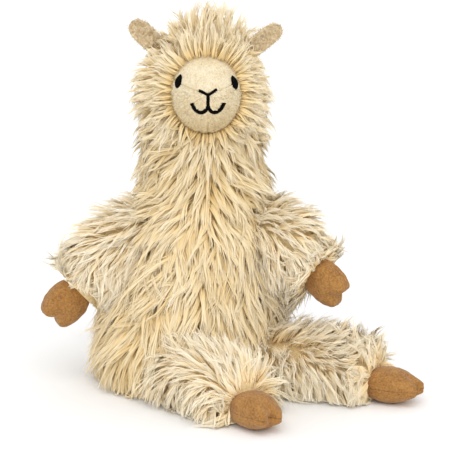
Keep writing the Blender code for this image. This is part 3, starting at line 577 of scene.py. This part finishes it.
# %% Eyes
bead_black, *_ = new_material(
    "glossy black bead", Base_Color=linear("#040303"), Roughness=0.1, Specular_IOR_Level=0.05
)
EYE_HALF = np.array((2.9, 5.6, 2.7)) * MM
EYE_LIFT, EYE_TURN = 0.8 * MM, 12
EYES = {"eye_right": (-20.4, 12.0, -1), "eye_left": (21.1, 10.9, 1)}


def almond(rings=28, columns=40):
    polar = np.linspace(0.02, math.pi - 0.02, rings)[:, None]
    angle = turns(columns)
    x = np.sin(polar) * np.cos(angle)
    y = np.cos(polar) + np.zeros_like(angle)
    z = np.sin(polar) * np.sin(angle)
    narrow = 1 - 0.5 * np.maximum(y, 0) ** 1.3 - 0.12 * np.minimum(y, 0) ** 2
    return np.stack([x * narrow, y, z * (1 - 0.2 * y**2)], axis=-1) * EYE_HALF


eye_middles = []
for name, (across, up, side) in EYES.items():
    across, up = np.array(across * MM), np.array(up * MM)
    normal = Vector(unit(face_normal(across, up) * 0.5 + FRONT * 0.5))
    place = normal.to_track_quat("Z", "Y").to_matrix().to_4x4()
    place = place @ Matrix.Rotation(math.radians(side * EYE_TURN), 4, "Z")
    place.translation = Vector(face_front(across, up)) + normal * EYE_LIFT
    eye_middles.append(place.translation)
    piece = grid(f"{name}_bead", almond(), bead_black)
    piece.data.transform(place)
    finish_piece(piece, name)

# %% [markdown]
# ## Closed spindles
#
# Thread and hair have one shape in common: a long body that is pointed at both ends. This
# function makes thousands of them in one mesh. Its map holds only two facts, the tone of
# the fibre across and the place along it upwards, which is all that its colour needs.

# %% Spindles
STRIP = 0.002


def spindles(name, lines, thick, tones, facing, made_of, sides=3, flat=1.0, soft=0.0):
    count, stops = lines.shape[:2]
    rings = stops - 2
    ahead = unit(np.gradient(lines, axis=1))[:, 1:-1]
    across = unit(np.cross(ahead, np.broadcast_to(facing[:, None], ahead.shape)))
    lift = np.cross(ahead, across)
    angle = math.pi / 2 + 2 * math.pi * np.arange(sides) / sides
    size = thick[:, 1:-1, None, None]
    round_it = across[:, :, None] * np.cos(angle)[:, None] * flat
    round_it = round_it + lift[:, :, None] * np.sin(angle)[:, None]
    body = lines[:, 1:-1, None] + round_it * size
    points = np.concatenate([lines[:, :1], body.reshape(count, -1, 3), lines[:, -1:]], axis=1)
    last = 1 + rings * sides
    one = []
    for j in range(sides):
        k = (j + 1) % sides
        one.append((0, 1 + k, 1 + j))
        for ring in range(rings - 1):
            a, b = 1 + ring * sides + j, 1 + ring * sides + k
            one += [(a, b, b + sides), (a, b + sides, a + sides)]
        one.append((last - sides + j, last - sides + k, last))
    one = np.array(one)
    faces = one[None] + np.arange(count)[:, None, None] * (last + 1)
    along = np.linspace(0, 1, stops)
    u = np.concatenate([[0.5], np.tile(np.arange(sides) / sides, rings), [0.5]]) * STRIP
    v = np.concatenate([[0], np.repeat(along[1:-1], sides), [1]])
    uv = np.empty((count, last + 1, 2))
    uv[..., 0] = np.clip(tones, 0, 1)[:, None] * (1 - STRIP) + u
    uv[..., 1] = v
    made = to_object(name, points.reshape(-1, 3), faces.reshape(-1, 3), made_of, uv.reshape(-1, 2))
    if soft:
        outer = unit(unit(round_it) * (1 - soft) - lift[:, :, None] * soft).reshape(count, -1, 3)
        outer = np.concatenate([-lift[:, :1], outer, -lift[:, -1:]], axis=1)[:, one]
        ring = np.clip((one - 1) // sides, 0, rings - 1)
        face = np.arange(len(one)) // (len(one) // sides)
        beside = across[:, ring] * np.where(face == 0, -1, 1)[:, None, None] - lift[:, ring] * soft
        normals = np.where((face == 1)[:, None, None], outer, unit(beside))
        made.data.normals_split_custom_set(normals.reshape(-1, 3))
    return made


# %% [markdown]
# ## Nose and mouth
#
# They are embroidered in satin stitch: black rayon thread laid side by side across a line.
# The middle of each stitch stands proud, so that the row catches the light.

# %% Satin stitches
black_thread, *_ = new_material(
    "black embroidery thread", Base_Color=linear("#060404"), Roughness=0.6, Specular_IOR_Level=0.06
)
STITCH_STEP, THREAD_RADIUS, STITCH_SLANT = 0.34, 0.21 * MM, 0.12
STITCH_ARCH = np.array((-0.1, 0.5, 0.85, 1.0, 0.85, 0.5, -0.1)) * MM
# Points in millimetres from the nose, across and up
NOSE_LINE = ((-6.6, 2.3), (-4.4, 1.6), (-2.2, 0.4), (0, -0.7), (2.2, 0.4), (4.4, 1.8), (6.4, 3.0))
STEM_LINE = ((0, 0.2), (0.1, -4.6), (0.1, -9.0))
MOUTH_HALF = ((-12.2, -7.6), (-9.8, -12.0), (-5.8, -14.4), (-2.2, -13.0))
MOUTH_LINE = MOUTH_HALF + ((0, -9.4),) + tuple((-x, y) for x, y in reversed(MOUTH_HALF))
stitches = []
for line, width in ((NOSE_LINE, 2.4), (STEM_LINE, 3.0), (MOUTH_LINE, 3.4)):
    rough = smooth_through(line, 200, 2)
    length = np.linalg.norm(np.diff(rough, axis=0), axis=1).sum()
    middle = smooth_through(line, int(length / MM / STITCH_STEP) + 2, 2)
    ahead = unit(np.gradient(middle, axis=0))
    across = np.stack([ahead[:, 1], -ahead[:, 0]], axis=-1) + ahead * STITCH_SLANT
    reach = np.linspace(-0.5, 0.5, len(STITCH_ARCH))[None, :, None] * width * MM
    flat = middle[:, None] + across[:, None] * reach + NOSE
    points = face_front(flat[..., 0], flat[..., 1])
    stitches.append(points + face_normal(flat[..., 0], flat[..., 1]) * STITCH_ARCH[None, :, None])
stitches = np.concatenate(stitches)
rng = np.random.default_rng(5)
thick = np.full(stitches.shape[:2], THREAD_RADIUS)
tone = rng.uniform(0, 1, len(stitches))
out = unit(stitches[:, 3] - FACE_CENTRE)
piece = spindles("nose_mouth_thread", stitches, thick, tone, out, black_thread, sides=6)
finish_piece(piece, "nose_mouth_stitching")
print("stitches:", len(stitches))

# %% [markdown]
# ## Ears
#
# The ears are flat leaves of short, slightly darker pile, folded a little along the middle.

# %% Ears
ear_pile, tree, shader = new_material(
    "taupe short-pile plush", Roughness=0.92, Sheen_Weight=0.25, Sheen_Roughness=0.6
)
grain = [(0.3, "#AC8E66"), (0.5, "#D6BF97"), (0.7, "#EFE0C2")]
fuzz, fine = speckle(tree, 520, grain, 4, 0.7)
tree.links.new(fine, shader.inputs["Base Color"])
roughen(tree, shader, fuzz, 0.8, 0.8 * MM)

# X, Z, half width and half thickness along the middle line of each ear
EAR_RIGHT_STATIONS = (
    (-20, 260, 5.4, 2.7), (-30, 269.5, 7.6, 3.4), (-41, 279.8, 8.4, 3.6), (-48.5, 286.9, 8.1, 3.1),
    (-52.6, 290.7, 6.3, 2.2), (-54.6, 292.6, 3.9, 1.3), (-55.4, 293.3, 0.4, 0.2),
)
EAR_LEFT_STATIONS = (
    (23, 260, 5.4, 2.7), (34, 268.6, 7.2, 3.4), (46, 277.9, 7.6, 3.6), (54, 284.2, 7.3, 3.1),
    (58.5, 287.7, 5.8, 2.2), (60.7, 289.4, 3.6, 1.3), (61.5, 290.0, 0.4, 0.2),
)
EAR_DEPTH, EAR_FOLD = -8.2, 1.3
EAR_TUFT, EAR_TUFT_LENGTH = 0.35 * MM, 3 * MM
EARS = {
    side: skin([(x, EAR_DEPTH, z, wide, thick) for x, z, wide, thick in stations], FRONT, 60)
    for side, stations in (("right", EAR_RIGHT_STATIONS), ("left", EAR_LEFT_STATIONS))
}


def ear_point(rows, share, angle):
    """A leaf: its front side is pushed in along the middle."""
    lift = np.sin(angle)
    row = row_at(rows, share)
    cup = np.where(lift > 0, 1 - EAR_FOLD * lift**2, 1)
    return (
        row[..., :3] + row[..., 3:6] * row[..., 9:10] * np.cos(angle)[..., None]
        + row[..., 6:9] * row[..., 10:11] * (lift * cup)[..., None]
    )


ear_pieces = []
for side, rows in EARS.items():
    points = ear_point(rows, *round_about(70, 44))
    points += FRONT * (EAR_TUFT * relief(points, EAR_TUFT_LENGTH, 31))[..., None]
    piece = grid(f"ear_{side}_leaf", points, ear_pile)
    finish_piece(piece, f"ear_{side}")
    ear_pieces.append(piece)

# %% [markdown]
# ## Long pile
#
# Plush of this kind is woven with loose polyester fibres, which cling together into
# pointed locks. So the fur grows lock by lock: every lock has a root on the skin, a curved
# middle line, and fibres that start apart and gather at the tip. What a lock does is set
# by four things that can be read off the photograph: its direction, length, lift and width.

# %% Fibres
def pile_material(name, deep, pale):
    """Matt polyester fibre, from deep to pale by tone, pale at the tip and warm at the root; the
    warm roots are partly painted golden shade deep in the pile.
    """
    made, tree, shader = new_material(name, Roughness=0.9, Specular_IOR_Level=0.0)
    place = add_node(tree, "ShaderNodeUVMap", uv_map="OFBake")
    axes = add_node(tree, "ShaderNodeSeparateXYZ", {"Vector": place.outputs["UV"]})
    tone, along = axes.outputs["X"], axes.outputs["Y"]
    colour = mix_colours(tree, tone, ramp(tree, along, deep), ramp(tree, along, pale))
    tree.links.new(colour, shader.inputs["Base Color"])
    return made


body_pile = pile_material(
    "long-pile polyester fur",
    [(0, "#E2B86C"), (0.35, "#EACA8A"), (0.75, "#F0D7A5"), (1, "#F4E2BC")],
    [(0, "#F5D594"), (0.35, "#FBE5B6"), (0.75, "#FEEFCF"), (1, "#FFF6E2")],
)
# A paler copy of the body's fur: painted light against the shade between limb locks, with painted
# golden shade at the roots.
limb_pile_painted_light = pile_material(
    "long-pile polyester fur with painted light",
    [(0, "#FFD692"), (0.35, "#FFE2AC"), (0.75, "#FFECC8"), (1, "#FFF2D8")],
    [(0, "#FFE2AE"), (0.35, "#FFEEC8"), (0.75, "#FFF6E0"), (1, "#FFF9EA")],
)

# %% [markdown]
# ### Nap of the short pile
#
# Short pile has the same fibres, cut at one or two millimetres. They blur the outline of the
# ears and the face. Each root is a point drawn at random from the faces of the cloth.

# %% Short nap
face_nap = pile_material(
    "short-pile plush fibre", [(0, "#C6AE80"), (1, "#E0CDA6")], [(0, "#E2D0A8"), (1, "#FAF0DA")]
)
ear_nap = pile_material(
    "taupe short-pile fibre", [(0, "#B4986C"), (1, "#D2BA90")], [(0, "#DCC59A"), (1, "#FFF2D6")]
)
EAR_FIBRES, PANEL_FIBRES = 700, 1500
NAP_ROOT_DEPTH, NAP_RADIUS = 0.2 * MM, 0.17 * MM
CLEAR_OF_THREAD, CLEAR_OF_EYES = 1.7 * MM, 6.4 * MM


def roots_on(piece, rng, count):
    """Points and normals spread evenly over a mesh."""
    faces = piece.data.polygons
    area, middle, normal = (np.empty(len(faces) * n, np.float32) for n in (1, 3, 3))
    for what, values in (("area", area), ("center", middle), ("normal", normal)):
        faces.foreach_get(what, values)
    chosen = rng.choice(len(faces), count, p=area.astype(float) / area.astype(float).sum())
    return middle.reshape(-1, 3)[chosen].astype(float), normal.reshape(-1, 3)[chosen].astype(float)


def nap(name, rng, root, normal, comb, tone, length, made_of):
    """Short fibres of about a length in millimetres, leaning by comb."""
    lean = unit(normal + comb + rng.normal(0, 0.4, root.shape))
    reach = length * MM * rng.uniform(0.6, 1.2, (len(root), 1))
    below, bend = root - normal * NAP_ROOT_DEPTH, root + (normal + lean) * reach * 0.3
    lines = np.stack([below, bend, root + lean * reach], axis=1)
    thick = np.full(lines.shape[:2], NAP_RADIUS)
    piece = spindles(name, lines, thick, tone, normal, made_of, flat=1.6, soft=0.6)
    finish_piece(piece)
    print(name, "fibres:", len(root), "triangles:", len(piece.data.polygons))


rng = np.random.default_rng(61)
for side, piece in zip(("right", "left"), ear_pieces):
    root, normal = roots_on(piece, rng, EAR_FIBRES)
    ahead = unit(EARS[side][-1, :3] - EARS[side][0, :3])
    tone = rng.uniform(0.0, 0.8, EAR_FIBRES) + 0.3 * (side == "left")
    nap(f"ear_{side}_nap", rng, root, normal, ahead * 0.8, tone, 1.9, ear_nap)
drawn = [roots_on(piece, rng, PANEL_FIBRES) for piece in face_pieces]
root, normal = (np.concatenate(both) for both in zip(*drawn))
front = -unit((root - FACE_CENTRE) / FACE_SIZE)[:, 1]
thread = stitches[:, ::2].reshape(-1, 3)
free = np.linalg.norm(root[:, None] - thread[None], axis=-1).min(axis=1) > CLEAR_OF_THREAD
for middle in eye_middles:
    free &= np.linalg.norm(root - np.array(middle), axis=1) > CLEAR_OF_EYES
root, normal = root[free & (front > 0.2)], normal[free & (front > 0.2)]
# Painted shade: the nap is darker towards the chin and paler towards the brow.
tone = 0.6 * ease(root[:, 2], 212 * MM, 262 * MM) + 0.4 * rng.uniform(0, 1, len(root))
nap("face_nap", rng, root, normal, -UP * 0.7, tone, 1.3, face_nap)

# %% [markdown]
# ### Parting round the neighbours
#
# A fibre that would enter the face slides out to its surface. One that would cross a hoof
# is parted to the rim of the hoof, all its points on the same side, from where it crosses.

# %% Keeping clear of the neighbours
FACE_CLEARANCE, HOOF_CLEARANCE, PARTED_WITHIN = 0.3 * MM, 0.8 * MM, 18 * MM
RIM_START, RIM_STEP = 0.88, 0.12
LOWEST_FIBRE = 2.2 * MM


def pushed_out(lines, axes, centre, half, swell=None):
    """Moves the points inside an egg out to its surface."""
    local = (lines - centre) @ axes / half
    deep = np.linalg.norm(local, axis=-1, keepdims=True)
    wanted = 1 if swell is None else swell(local)
    moved = local / np.maximum(deep, 0.2) * wanted
    return np.where(deep < wanted, (moved * half) @ axes.T + centre, lines)


def clear_of_neighbours(lines):
    """Pushes fibres out of the face, the hooves and the floor."""
    lines = pushed_out(lines, np.eye(3), FACE_CENTRE, FACE_SIZE + FACE_CLEARANCE, muzzle)
    for size, place, hidden in HOOVES.values():
        half = np.array((size["length"], size["width"], size["thick"])) * MM / 2
        half = half + HOOF_CLEARANCE
        axes, centre = np.array(place.to_3x3()), np.array(place.translation)
        lines = pushed_out(lines, axes, centre, half)
        local = (lines - centre) @ axes
        middle, reach = half[:2] * (hidden, 0), half[:2] * (1 - hidden, 1)
        flat = (local[..., :2] - middle) / reach
        over = np.linalg.norm(flat, axis=-1) < 1
        over &= np.abs(local[..., 2]) < half[2] + PARTED_WITHIN
        over = np.logical_or.accumulate(over, axis=1)
        way = unit(np.take_along_axis(flat, over.argmax(axis=1)[:, None, None], axis=1))
        rim = way * reach * (RIM_START + RIM_STEP * np.cumsum(over, axis=1)[..., None]) + middle
        local[..., :2] = np.where(over[..., None], rim, local[..., :2])
        lines = local @ axes.T + centre
    height = lines[..., 2]
    near_floor = LOWEST_FIBRE + (height - LOWEST_FIBRE) * 0.03
    lines[..., 2] = np.where(height < LOWEST_FIBRE, near_floor, height)
    return lines


# %% Growing locks
def tufts(rng, points, spread, members):
    """Gathers roots round some of them, so that neighbours behave alike."""
    seeds = points[rng.choice(len(points), max(4, len(points) // members), replace=False)]
    own = np.argmin(np.linalg.norm(points[:, None] - seeds, axis=-1), axis=1)
    pull = seeds[own] - points
    return own, rng.normal(0, spread, (len(seeds), 3))[own], pull


def grow(name, rng, roots, fibres, stops, thick, made_of, soft, adjust=None):
    """Grows a lock at each root, as one piece.

    roots holds for each lock its root, normal, flow, length, lift, droop, width, tone, pull
    towards its tuft and share of loose fibres. soft blends its shading into that of the
    pelt, and adjust may move fibres before they are parted.
    """
    root, normal, flow = roots["root"], roots["normal"], roots["flow"]
    length, width, droop = roots["length"][:, None], roots["width"], roots["droop"][:, None]
    count = len(root)
    flow = unit(flow - normal * (flow * normal).sum(-1, keepdims=True))
    side = np.cross(flow, normal)
    lift = roots["lift"][:, None]
    lean = flow * np.cos(lift) + normal * np.sin(lift)
    curl, sway = rng.normal(0, 1, (2, count, 1))
    first = root + (normal * 0.75 + lean * 0.5) * length * 0.30
    tip = root + (lean - UP * droop + side * sway * 0.10) * length + roots["pull"] * 0.45
    second = tip - (flow - UP * droop - side * curl * 0.28) * length * 0.36
    short = rng.uniform(0.6, 1.0, (count, fibres, 1))
    t = (np.linspace(0, 1, stops)[None, None] * short)[..., None]
    centre = (
        root[:, None, None] * (1 - t) ** 3 + first[:, None, None] * 3 * t * (1 - t) ** 2
        + second[:, None, None] * 3 * t**2 * (1 - t) + tip[:, None, None] * t**3
    )
    turn = rng.uniform(0, 2 * math.pi, (count, fibres))
    away = np.sqrt(rng.uniform(0, 1, (count, fibres))) * width[:, None]
    across, ahead = np.cos(turn) * away, np.sin(turn) * away
    spread = side[:, None] * across[..., None] + flow[:, None] * ahead[..., None]
    loose = rng.uniform(0, 1, (count, fibres)) < roots["loose"][:, None]
    gather = np.where(loose, 0.1, 0.92)[..., None, None]
    lines = centre + spread[:, :, None] * (1 - gather * t**1.25)
    own = rng.normal(0, 1, (count, fibres, 3)) * np.where(loose, 0.12, 0.035)[..., None]
    lines = lines + own[:, :, None] * length[:, None, None] * t**2
    wave = np.sin(2 * math.pi * (t * 1.2 + rng.uniform(0, 1, (count, 1, 1, 1)))) * t
    lines = lines + side[:, None, None] * wave * length[:, None, None] * 0.04
    lines = lines.reshape(-1, stops, 3)
    if adjust:
        lines = adjust(lines)
    lines = clear_of_neighbours(lines)
    taper = np.interp(np.linspace(0, 1, stops), [0, 0.25, 0.6, 1], [0.5, 1.0, 0.8, 0.2])
    size = thick * rng.uniform(0.7, 1.3, (count * fibres, 1)) * taper
    tones = np.repeat(roots["tone"], fibres) + rng.normal(0, 0.12, count * fibres)
    around = unit(spread / width[:, None, None] + own * 12).reshape(-1, 3)
    outward = unit(normal * (1, 1, 0.45) + FRONT * 0.4 * normal[:, 2:3] ** 2)
    facing = unit(np.repeat(outward, fibres, axis=0) + around * 0.4)
    piece = spindles(name, lines, size, tones, facing, made_of, flat=1.7, soft=soft)
    finish_piece(piece)
    print(name, "locks:", count, "triangles:", len(piece.data.polygons))
    return piece


def scatter(rng, rows, spacing, low=0.0, high=1.0):
    """Roots spread evenly over a skin, a little off their grid."""
    length = np.linalg.norm(np.diff(rows[:, :3], axis=0), axis=1).sum()
    shares, angles = [], []
    for share in np.arange(low, high, spacing / length):
        row = rows[int(share * (len(rows) - 1))]
        around = math.pi * (row[9] + row[10])
        number = max(3, int(around / spacing))
        turn = (np.arange(number) + rng.uniform(-0.45, 0.45, number)) / number + rng.uniform(0, 1)
        shares.append(share + rng.uniform(-0.45, 0.45, number) * spacing / length)
        angles.append(turn * 2 * math.pi)
    share, angle = np.clip(np.concatenate(shares), 0, 1), np.concatenate(angles)
    return skin_at(rows, share, angle), skin_normal(rows, share, angle), share


def inside_skin(points, rows, extra=0.0):
    """Whether points lie inside the tube of a skin."""
    apart = np.linalg.norm(points[:, None] - rows[None, :, :3], axis=-1)
    return (apart - rows[:, 9:11].min(axis=1) - extra).min(axis=1) < 0


# %% [markdown]
# ### Combing the body
#
# The pile hangs on the trunk and swings out to both sides of the chest. Round the face it
# fans out like rays, and on the crown it stands up in tufts. Random turns of some fifteen
# degrees keep the locks from lying parallel. Levels below are heights over the floor, lengths
# are in millimetres and lifts in degrees.

# %% Body pile
rng = np.random.default_rng(7)
MIDLINE = 3.5 * MM
BODY_SPACING, EDGE_SPACING = 4.3 * MM, 2.6 * MM
WAIST, THROAT = 95 * MM, 212 * MM


def from_face(points):
    """How far points are from the middle of the face, as a multiple of its edge."""
    return np.linalg.norm((points - FACE_CENTRE) / FACE_SIZE, axis=1)


def seam_roots(rng):
    """Roots in three rings where the short pile of the face ends under the long pile."""
    ways, number = [], 92
    for polar in (70, 76, 83):
        turn = 2 * math.pi * (np.arange(number) + rng.uniform(-0.4, 0.4, number)) / number
        tilt = np.radians(polar + rng.uniform(-2.5, 2.5, number))
        across, up = np.sin(tilt) * np.cos(turn), np.sin(tilt) * np.sin(turn)
        ways.append(np.stack([across, -np.cos(tilt), up], -1))
    ways = np.concatenate(ways)
    return FACE_CENTRE + ways * (FACE_SIZE + 0.4 * MM) * muzzle(ways), unit(ways / FACE_SIZE)


wide = scatter(rng, BODY, BODY_SPACING, 0.008, 1.0)
ring = scatter(rng, BODY, EDGE_SPACING, 0.6, 1.0)
at_edge = (from_face(ring[0]) < 1.22) & (ring[0][:, 1] < -12 * MM)
seam = seam_roots(rng)
root, normal = (np.concatenate([wide[i], ring[i][at_edge], seam[i]]) for i in (0, 1))
edge = np.arange(len(root)) >= len(wide[0])
keep = (from_face(root) > 0.95) & (root[:, 2] > 2 * MM)
keep &= edge | (from_face(root) > 1.15) | (root[:, 1] > -12 * MM)
for rows in (*ARMS.values(), *LEGS.values()):
    keep &= ~inside_skin(root, rows, -2 * MM)
root, normal, edge = root[keep], normal[keep], edge[keep]
x, y, z = root.T
count = len(root)
own, shared, pull = tufts(rng, root, 0.30, 9)
tuft = rng.uniform(0, 1, own.max() + 1)[own]
beside = np.clip((x - MIDLINE) / (45 * MM), -1.3, 1.3)
frontal = ease(-y, -5 * MM, 22 * MM)

neck = ease(z, 110 * MM, 165 * MM)
hang = np.stack([beside * (0.5 + 0.5 * neck), y * 4, -np.ones_like(x)], axis=-1)
parting = frontal * ease(z, 130 * MM, 165 * MM)
hang[:, 0] += parting * np.sign(x - MIDLINE) * 0.5 * ease(np.abs(x - MIDLINE), 0, 10 * MM)
ray = np.stack([x - FACE_CENTRE[0], 0 * x, z - FACE_CENTRE[2]], axis=-1)
ray = unit(ray) + np.array((0, 0.15, -0.10))
back = np.stack([beside * 0.3, 0.2 + 0 * x, -np.ones_like(x)], axis=-1)
fan = ray * frontal[:, None] + back * (1 - frontal[:, None])
over = ease(y, -12 * MM, 22 * MM)
by_ear = ease(z, 250 * MM, 262 * MM) * ease(np.abs(x - MIDLINE), 18 * MM, 28 * MM)
stand = np.stack([beside * (0.6 + 0.8 * by_ear), 0.15 + over, 1 - 1.5 * over], axis=-1)
head = ease(z, 205 * MM, 226 * MM)
crown = ease(z, 262 * MM, 272 * MM)
flow = unit(hang) * (1 - head[:, None]) + unit(fan) * head[:, None]
flow = unit(flow) * (1 - crown[:, None]) + unit(stand) * crown[:, None]
flow = unit(flow) + shared * (1 - 0.6 * edge)[:, None] + rng.normal(0, 0.13, flow.shape)

low = 1 - ease(z, 25 * MM, 110 * MM)
aside = ease(np.abs(x - 10 * MM), 8 * MM, 26 * MM)
length = 40 - 10 * ease(z, 110 * MM, 160 * MM) - 6 * head + crown * (4 - 7 * aside)
side = ease(np.abs(beside), 0.45, 0.9) * neck * (1 - crown)
length = length * np.where(edge, 0.85, 1.0) * (0.85 + 0.3 * tuft) * (1 - 0.25 * by_ear)
length = length * (1 - 0.15 * side)
lift = 17 + 5 * neck + 10 * head + 22 * crown + 10 * edge + 12 * side
pile = dict(
    root=root, normal=normal, flow=flow, pull=pull * (1 - 0.7 * edge)[:, None],
    length=length * MM * rng.uniform(0.8, 1.15, count),
    lift=np.radians(lift * rng.uniform(0.6, 1.4, count)),
    droop=0.10 * (1 - crown) * (0.4 + 0.6 * head),
    width=np.where(edge, 1.5, 2.5) * MM * rng.uniform(0.7, 1.3, count),
    # Tone rises on the head and falls low on the trunk.
    tone=np.clip(0.55 * tuft + 0.45 * rng.beta(2.0, 1.6, count) + 0.3 * head - 0.3 * low, 0, 1),
    loose=0.08 + 0.10 * head + 0.25 * crown,
)

chest = (z <= THROAT) & (z > WAIST) & ~edge
belly = z <= WAIST
# Which roots, fibres to a lock, stops along a fibre, and radius of a fibre in millimetres
BODY_PIECES = {
    "face_ring_fur": (edge, 6, 5, 0.28),
    "head_fur": ((z > THROAT) & ~edge, 9, 5, 0.30),
    "chest_fur": (chest & (y < 0), 9, 5, 0.34),
    "nape_fur": (chest & (y >= 0), 6, 4, 0.42),
    "belly_fur": (belly & (y < 0), 9, 5, 0.34),
    "rump_fur": (belly & (y >= 0), 5, 4, 0.45),
}
for name, (which, fibres, stops, thick) in BODY_PIECES.items():
    chosen = {key: value[which] for key, value in pile.items()}
    grow(name, rng, chosen, fibres, stops, thick * MM, body_pile, 0.6)

# %% [markdown]
# ### Combing arms and legs
#
# On the arms the pile runs towards the hand and hangs from the underside. On the legs it
# stands out like a brush. At the cuff it spreads round the hoof. Their pile is painted paler
# than the body's, as painted light against the shade between their locks, with painted golden
# shade at the roots.

# %% Limb pile
LIMB_SPACING, CUFF_SPACING = 3.8 * MM, 3.2 * MM
FIBRE_RADIUS = 0.30 * MM


def cuff_roots(rng, rows, spacing):
    """Roots on the rounded end of a limb, in rings round the hoof."""
    end, size = rows[-1], rows[-1, 9]
    ahead = unit(rows[-1, :3] - rows[-4, :3])
    points, normals = [], []
    for share in (0.62, 0.78, 0.94):
        number = int(2 * math.pi * size * share / spacing)
        angle = 2 * math.pi * (np.arange(number) + rng.uniform(-0.4, 0.4, number)) / number
        out = end[3:6] * np.cos(angle)[:, None] + end[6:9] * np.sin(angle)[:, None]
        points.append(end[:3] + out * size * share)
        normals.append(unit(ahead * 0.8 + out))
    return np.concatenate(points), np.concatenate(normals)


def limb_fur(name, rows, hoof, seed, length, drape, rise, lean, stand, bare, cut, fibres=9):
    """Fur of one limb, in locks of about a length in millimetres.

    Its sides hang by drape. Its top reaches up by rise, leans back by lean and stands by some
    degrees. Fibres run bare millimetres past the cuff before they spread round the hoof, and
    cut is the share by which the pile in front of the cuff is trimmed.
    """
    rng = np.random.default_rng(seed)
    root, normal, share = scatter(rng, rows, LIMB_SPACING, 0.1, 1.0)
    keep = ~inside_skin(root, BODY, -1 * MM) & (root[:, 2] > 1 * MM)
    root, normal, share = root[keep], normal[keep], share[keep]
    more, more_normal = cuff_roots(rng, rows, CUFF_SPACING)
    root, normal = np.concatenate([root, more]), np.concatenate([normal, more_normal])
    share = np.concatenate([share, np.ones(len(more))])
    count = len(root)
    own, shared, pull = tufts(rng, root, 0.28, 6)
    ahead = unit(np.gradient(rows[:, :3], axis=0))[np.round(share * (len(rows) - 1)).astype(int)]
    top, under = np.maximum(0, normal[:, 2:3]), np.maximum(0, -normal[:, 2:3])
    beside = 1 - np.abs(normal[:, 2:3])
    end = ease(share, 0.72, 1.0)[:, None]
    flow = ahead * (1 - 0.6 * beside * drape) - UP * (beside * drape + under)
    flow = unit(flow + UP * top * rise * ease(share, 0.4, 0.85)[:, None] - ahead * top * lean)
    out = unit(normal - ahead * (normal * ahead).sum(-1, keepdims=True))
    flow = unit(flow * (1 - 0.8 * end) + out * end) + shared
    flow += rng.normal(0, 0.2, flow.shape)
    top, under, end = top[:, 0], under[:, 0], end[:, 0]
    trimmed = 1 - cut * ease(share, 0.55, 0.9) * ease(-normal[:, 1], 0.0, 0.6)
    give = np.repeat(rng.uniform(0.6, 1.0, count), fibres)[:, None, None]
    start = (bare + np.repeat(rng.uniform(-3, 5, count), fibres)[:, None]) * MM
    cuff = rows[-1, :3]
    forward = np.array(HOOVES[hoof][1].to_3x3())[:, 0]

    def flare(lines):
        """Fibres that pass the cuff spread round the hoof instead of covering it."""
        past = (lines - cuff) @ forward
        beyond = np.maximum(past - start, 0)[..., None]
        out = unit(lines - cuff - past[..., None] * forward)
        return lines - forward * beyond * give + out * beyond * give * 0.6

    pile = dict(
        root=root, normal=normal, flow=flow, pull=pull * 0.6,
        length=(length + 8 * drape * under + end * rng.uniform(-7, 4, count)) * MM
        * trimmed * rng.uniform(0.75, 1.2, count),
        lift=np.radians(24 * rng.uniform(0.6, 1.4, count) + stand * top),
        droop=0.10 * (1 - 0.8 * top),
        width=2.2 * MM * rng.uniform(0.7, 1.3, count),
        tone=rng.beta(2.4, 1.4, count),
        loose=np.full(count, 0.25),
    )
    grow(name, rng, pile, fibres, 4, FIBRE_RADIUS, limb_pile_painted_light, 0.5, flare)


limb_fur("arm_right_fur", ARMS["right"], "hand_right", 41, 29, 0.8, 0.8, 0.0, 8, -2, 0.55)
limb_fur("arm_left_fur", ARMS["left"], "hand_left", 42, 27, 0.7, 0.1, 0.0, 8, -1, 0.35)
limb_fur("leg_right_fur", LEGS["right"], "foot_right", 43, 27, 1.2, 0.3, 1.5, 24, 2, 0)
limb_fur("leg_left_fur", LEGS["left"], "foot_left", 44, 27, 1.2, 0.6, 0.8, 20, 2, 0)

# %% [markdown]
# ## Studio
#
# A white floor, a white surround and one large soft lamp above and in front, as in a plain
# product photograph. A small lamp gives the eyes their highlight. The lamps are set so that
# a colour comes out about as it is written.

# %% Floor and lights
floor_white, *_ = new_material("matt white floor", Base_Color=linear("#FFFFFF"), Roughness=1.0)
mesh = bpy.data.meshes.new("floor")
FLOOR_REACH = 8.0
corners = [(x * FLOOR_REACH, y * FLOOR_REACH, 0) for x, y in ((-1, -1), (1, -1), (1, 1), (-1, 1))]
mesh.from_pydata(corners, [], [(0, 1, 2, 3)])
mesh.materials.append(floor_white)
floor = add_object("floor", mesh)

WHITE, SURROUND = (1, 1, 1, 1), 0.86
world = bpy.data.worlds.new("white surround")
bpy.context.scene.world = world
world.use_nodes = True
tree = world.node_tree
rays = add_node(tree, "ShaderNodeLightPath")
seen = add_node(tree, "ShaderNodeBackground", {"Color": WHITE, "Strength": 1})
lit = tree.nodes["Background"]
lit.inputs["Color"].default_value = WHITE
lit.inputs["Strength"].default_value = SURROUND
chosen = add_node(
    tree, "ShaderNodeMixShader",
    {
        0: rays.outputs["Is Camera Ray"],
        1: lit.outputs["Background"],
        2: seen.outputs["Background"],
    },
)
tree.links.new(chosen.outputs["Shader"], tree.nodes["World Output"].inputs["Surface"])


def add_sun(name, towards, strength, spread):
    data = bpy.data.lights.new(name, "SUN")
    data.energy = strength
    data.angle = math.radians(spread)
    add_object(name, data, towards)


add_sun("large softbox", (0.05, -0.75, 1.0), 0.95, 50)
add_sun("small catch light", (-0.12, -1.0, 0.45), 0.25, 6)

# %% Camera
TARGET, VIEWPOINT = Vector((0.0179, 0, 0.1283)), Vector((0.0179, -1.7465, 0.5638))
LENS, SENSOR = 180, 36
camera_data = bpy.data.cameras.new("camera")
camera_data.lens = LENS
camera_data.sensor_width = SENSOR
camera = add_object("camera", camera_data, VIEWPOINT - TARGET)
camera.location = VIEWPOINT
bpy.context.scene.camera = camera
bpy.context.scene.view_settings.view_transform = "Standard"

# %% The end
bpy.context.view_layer.update()
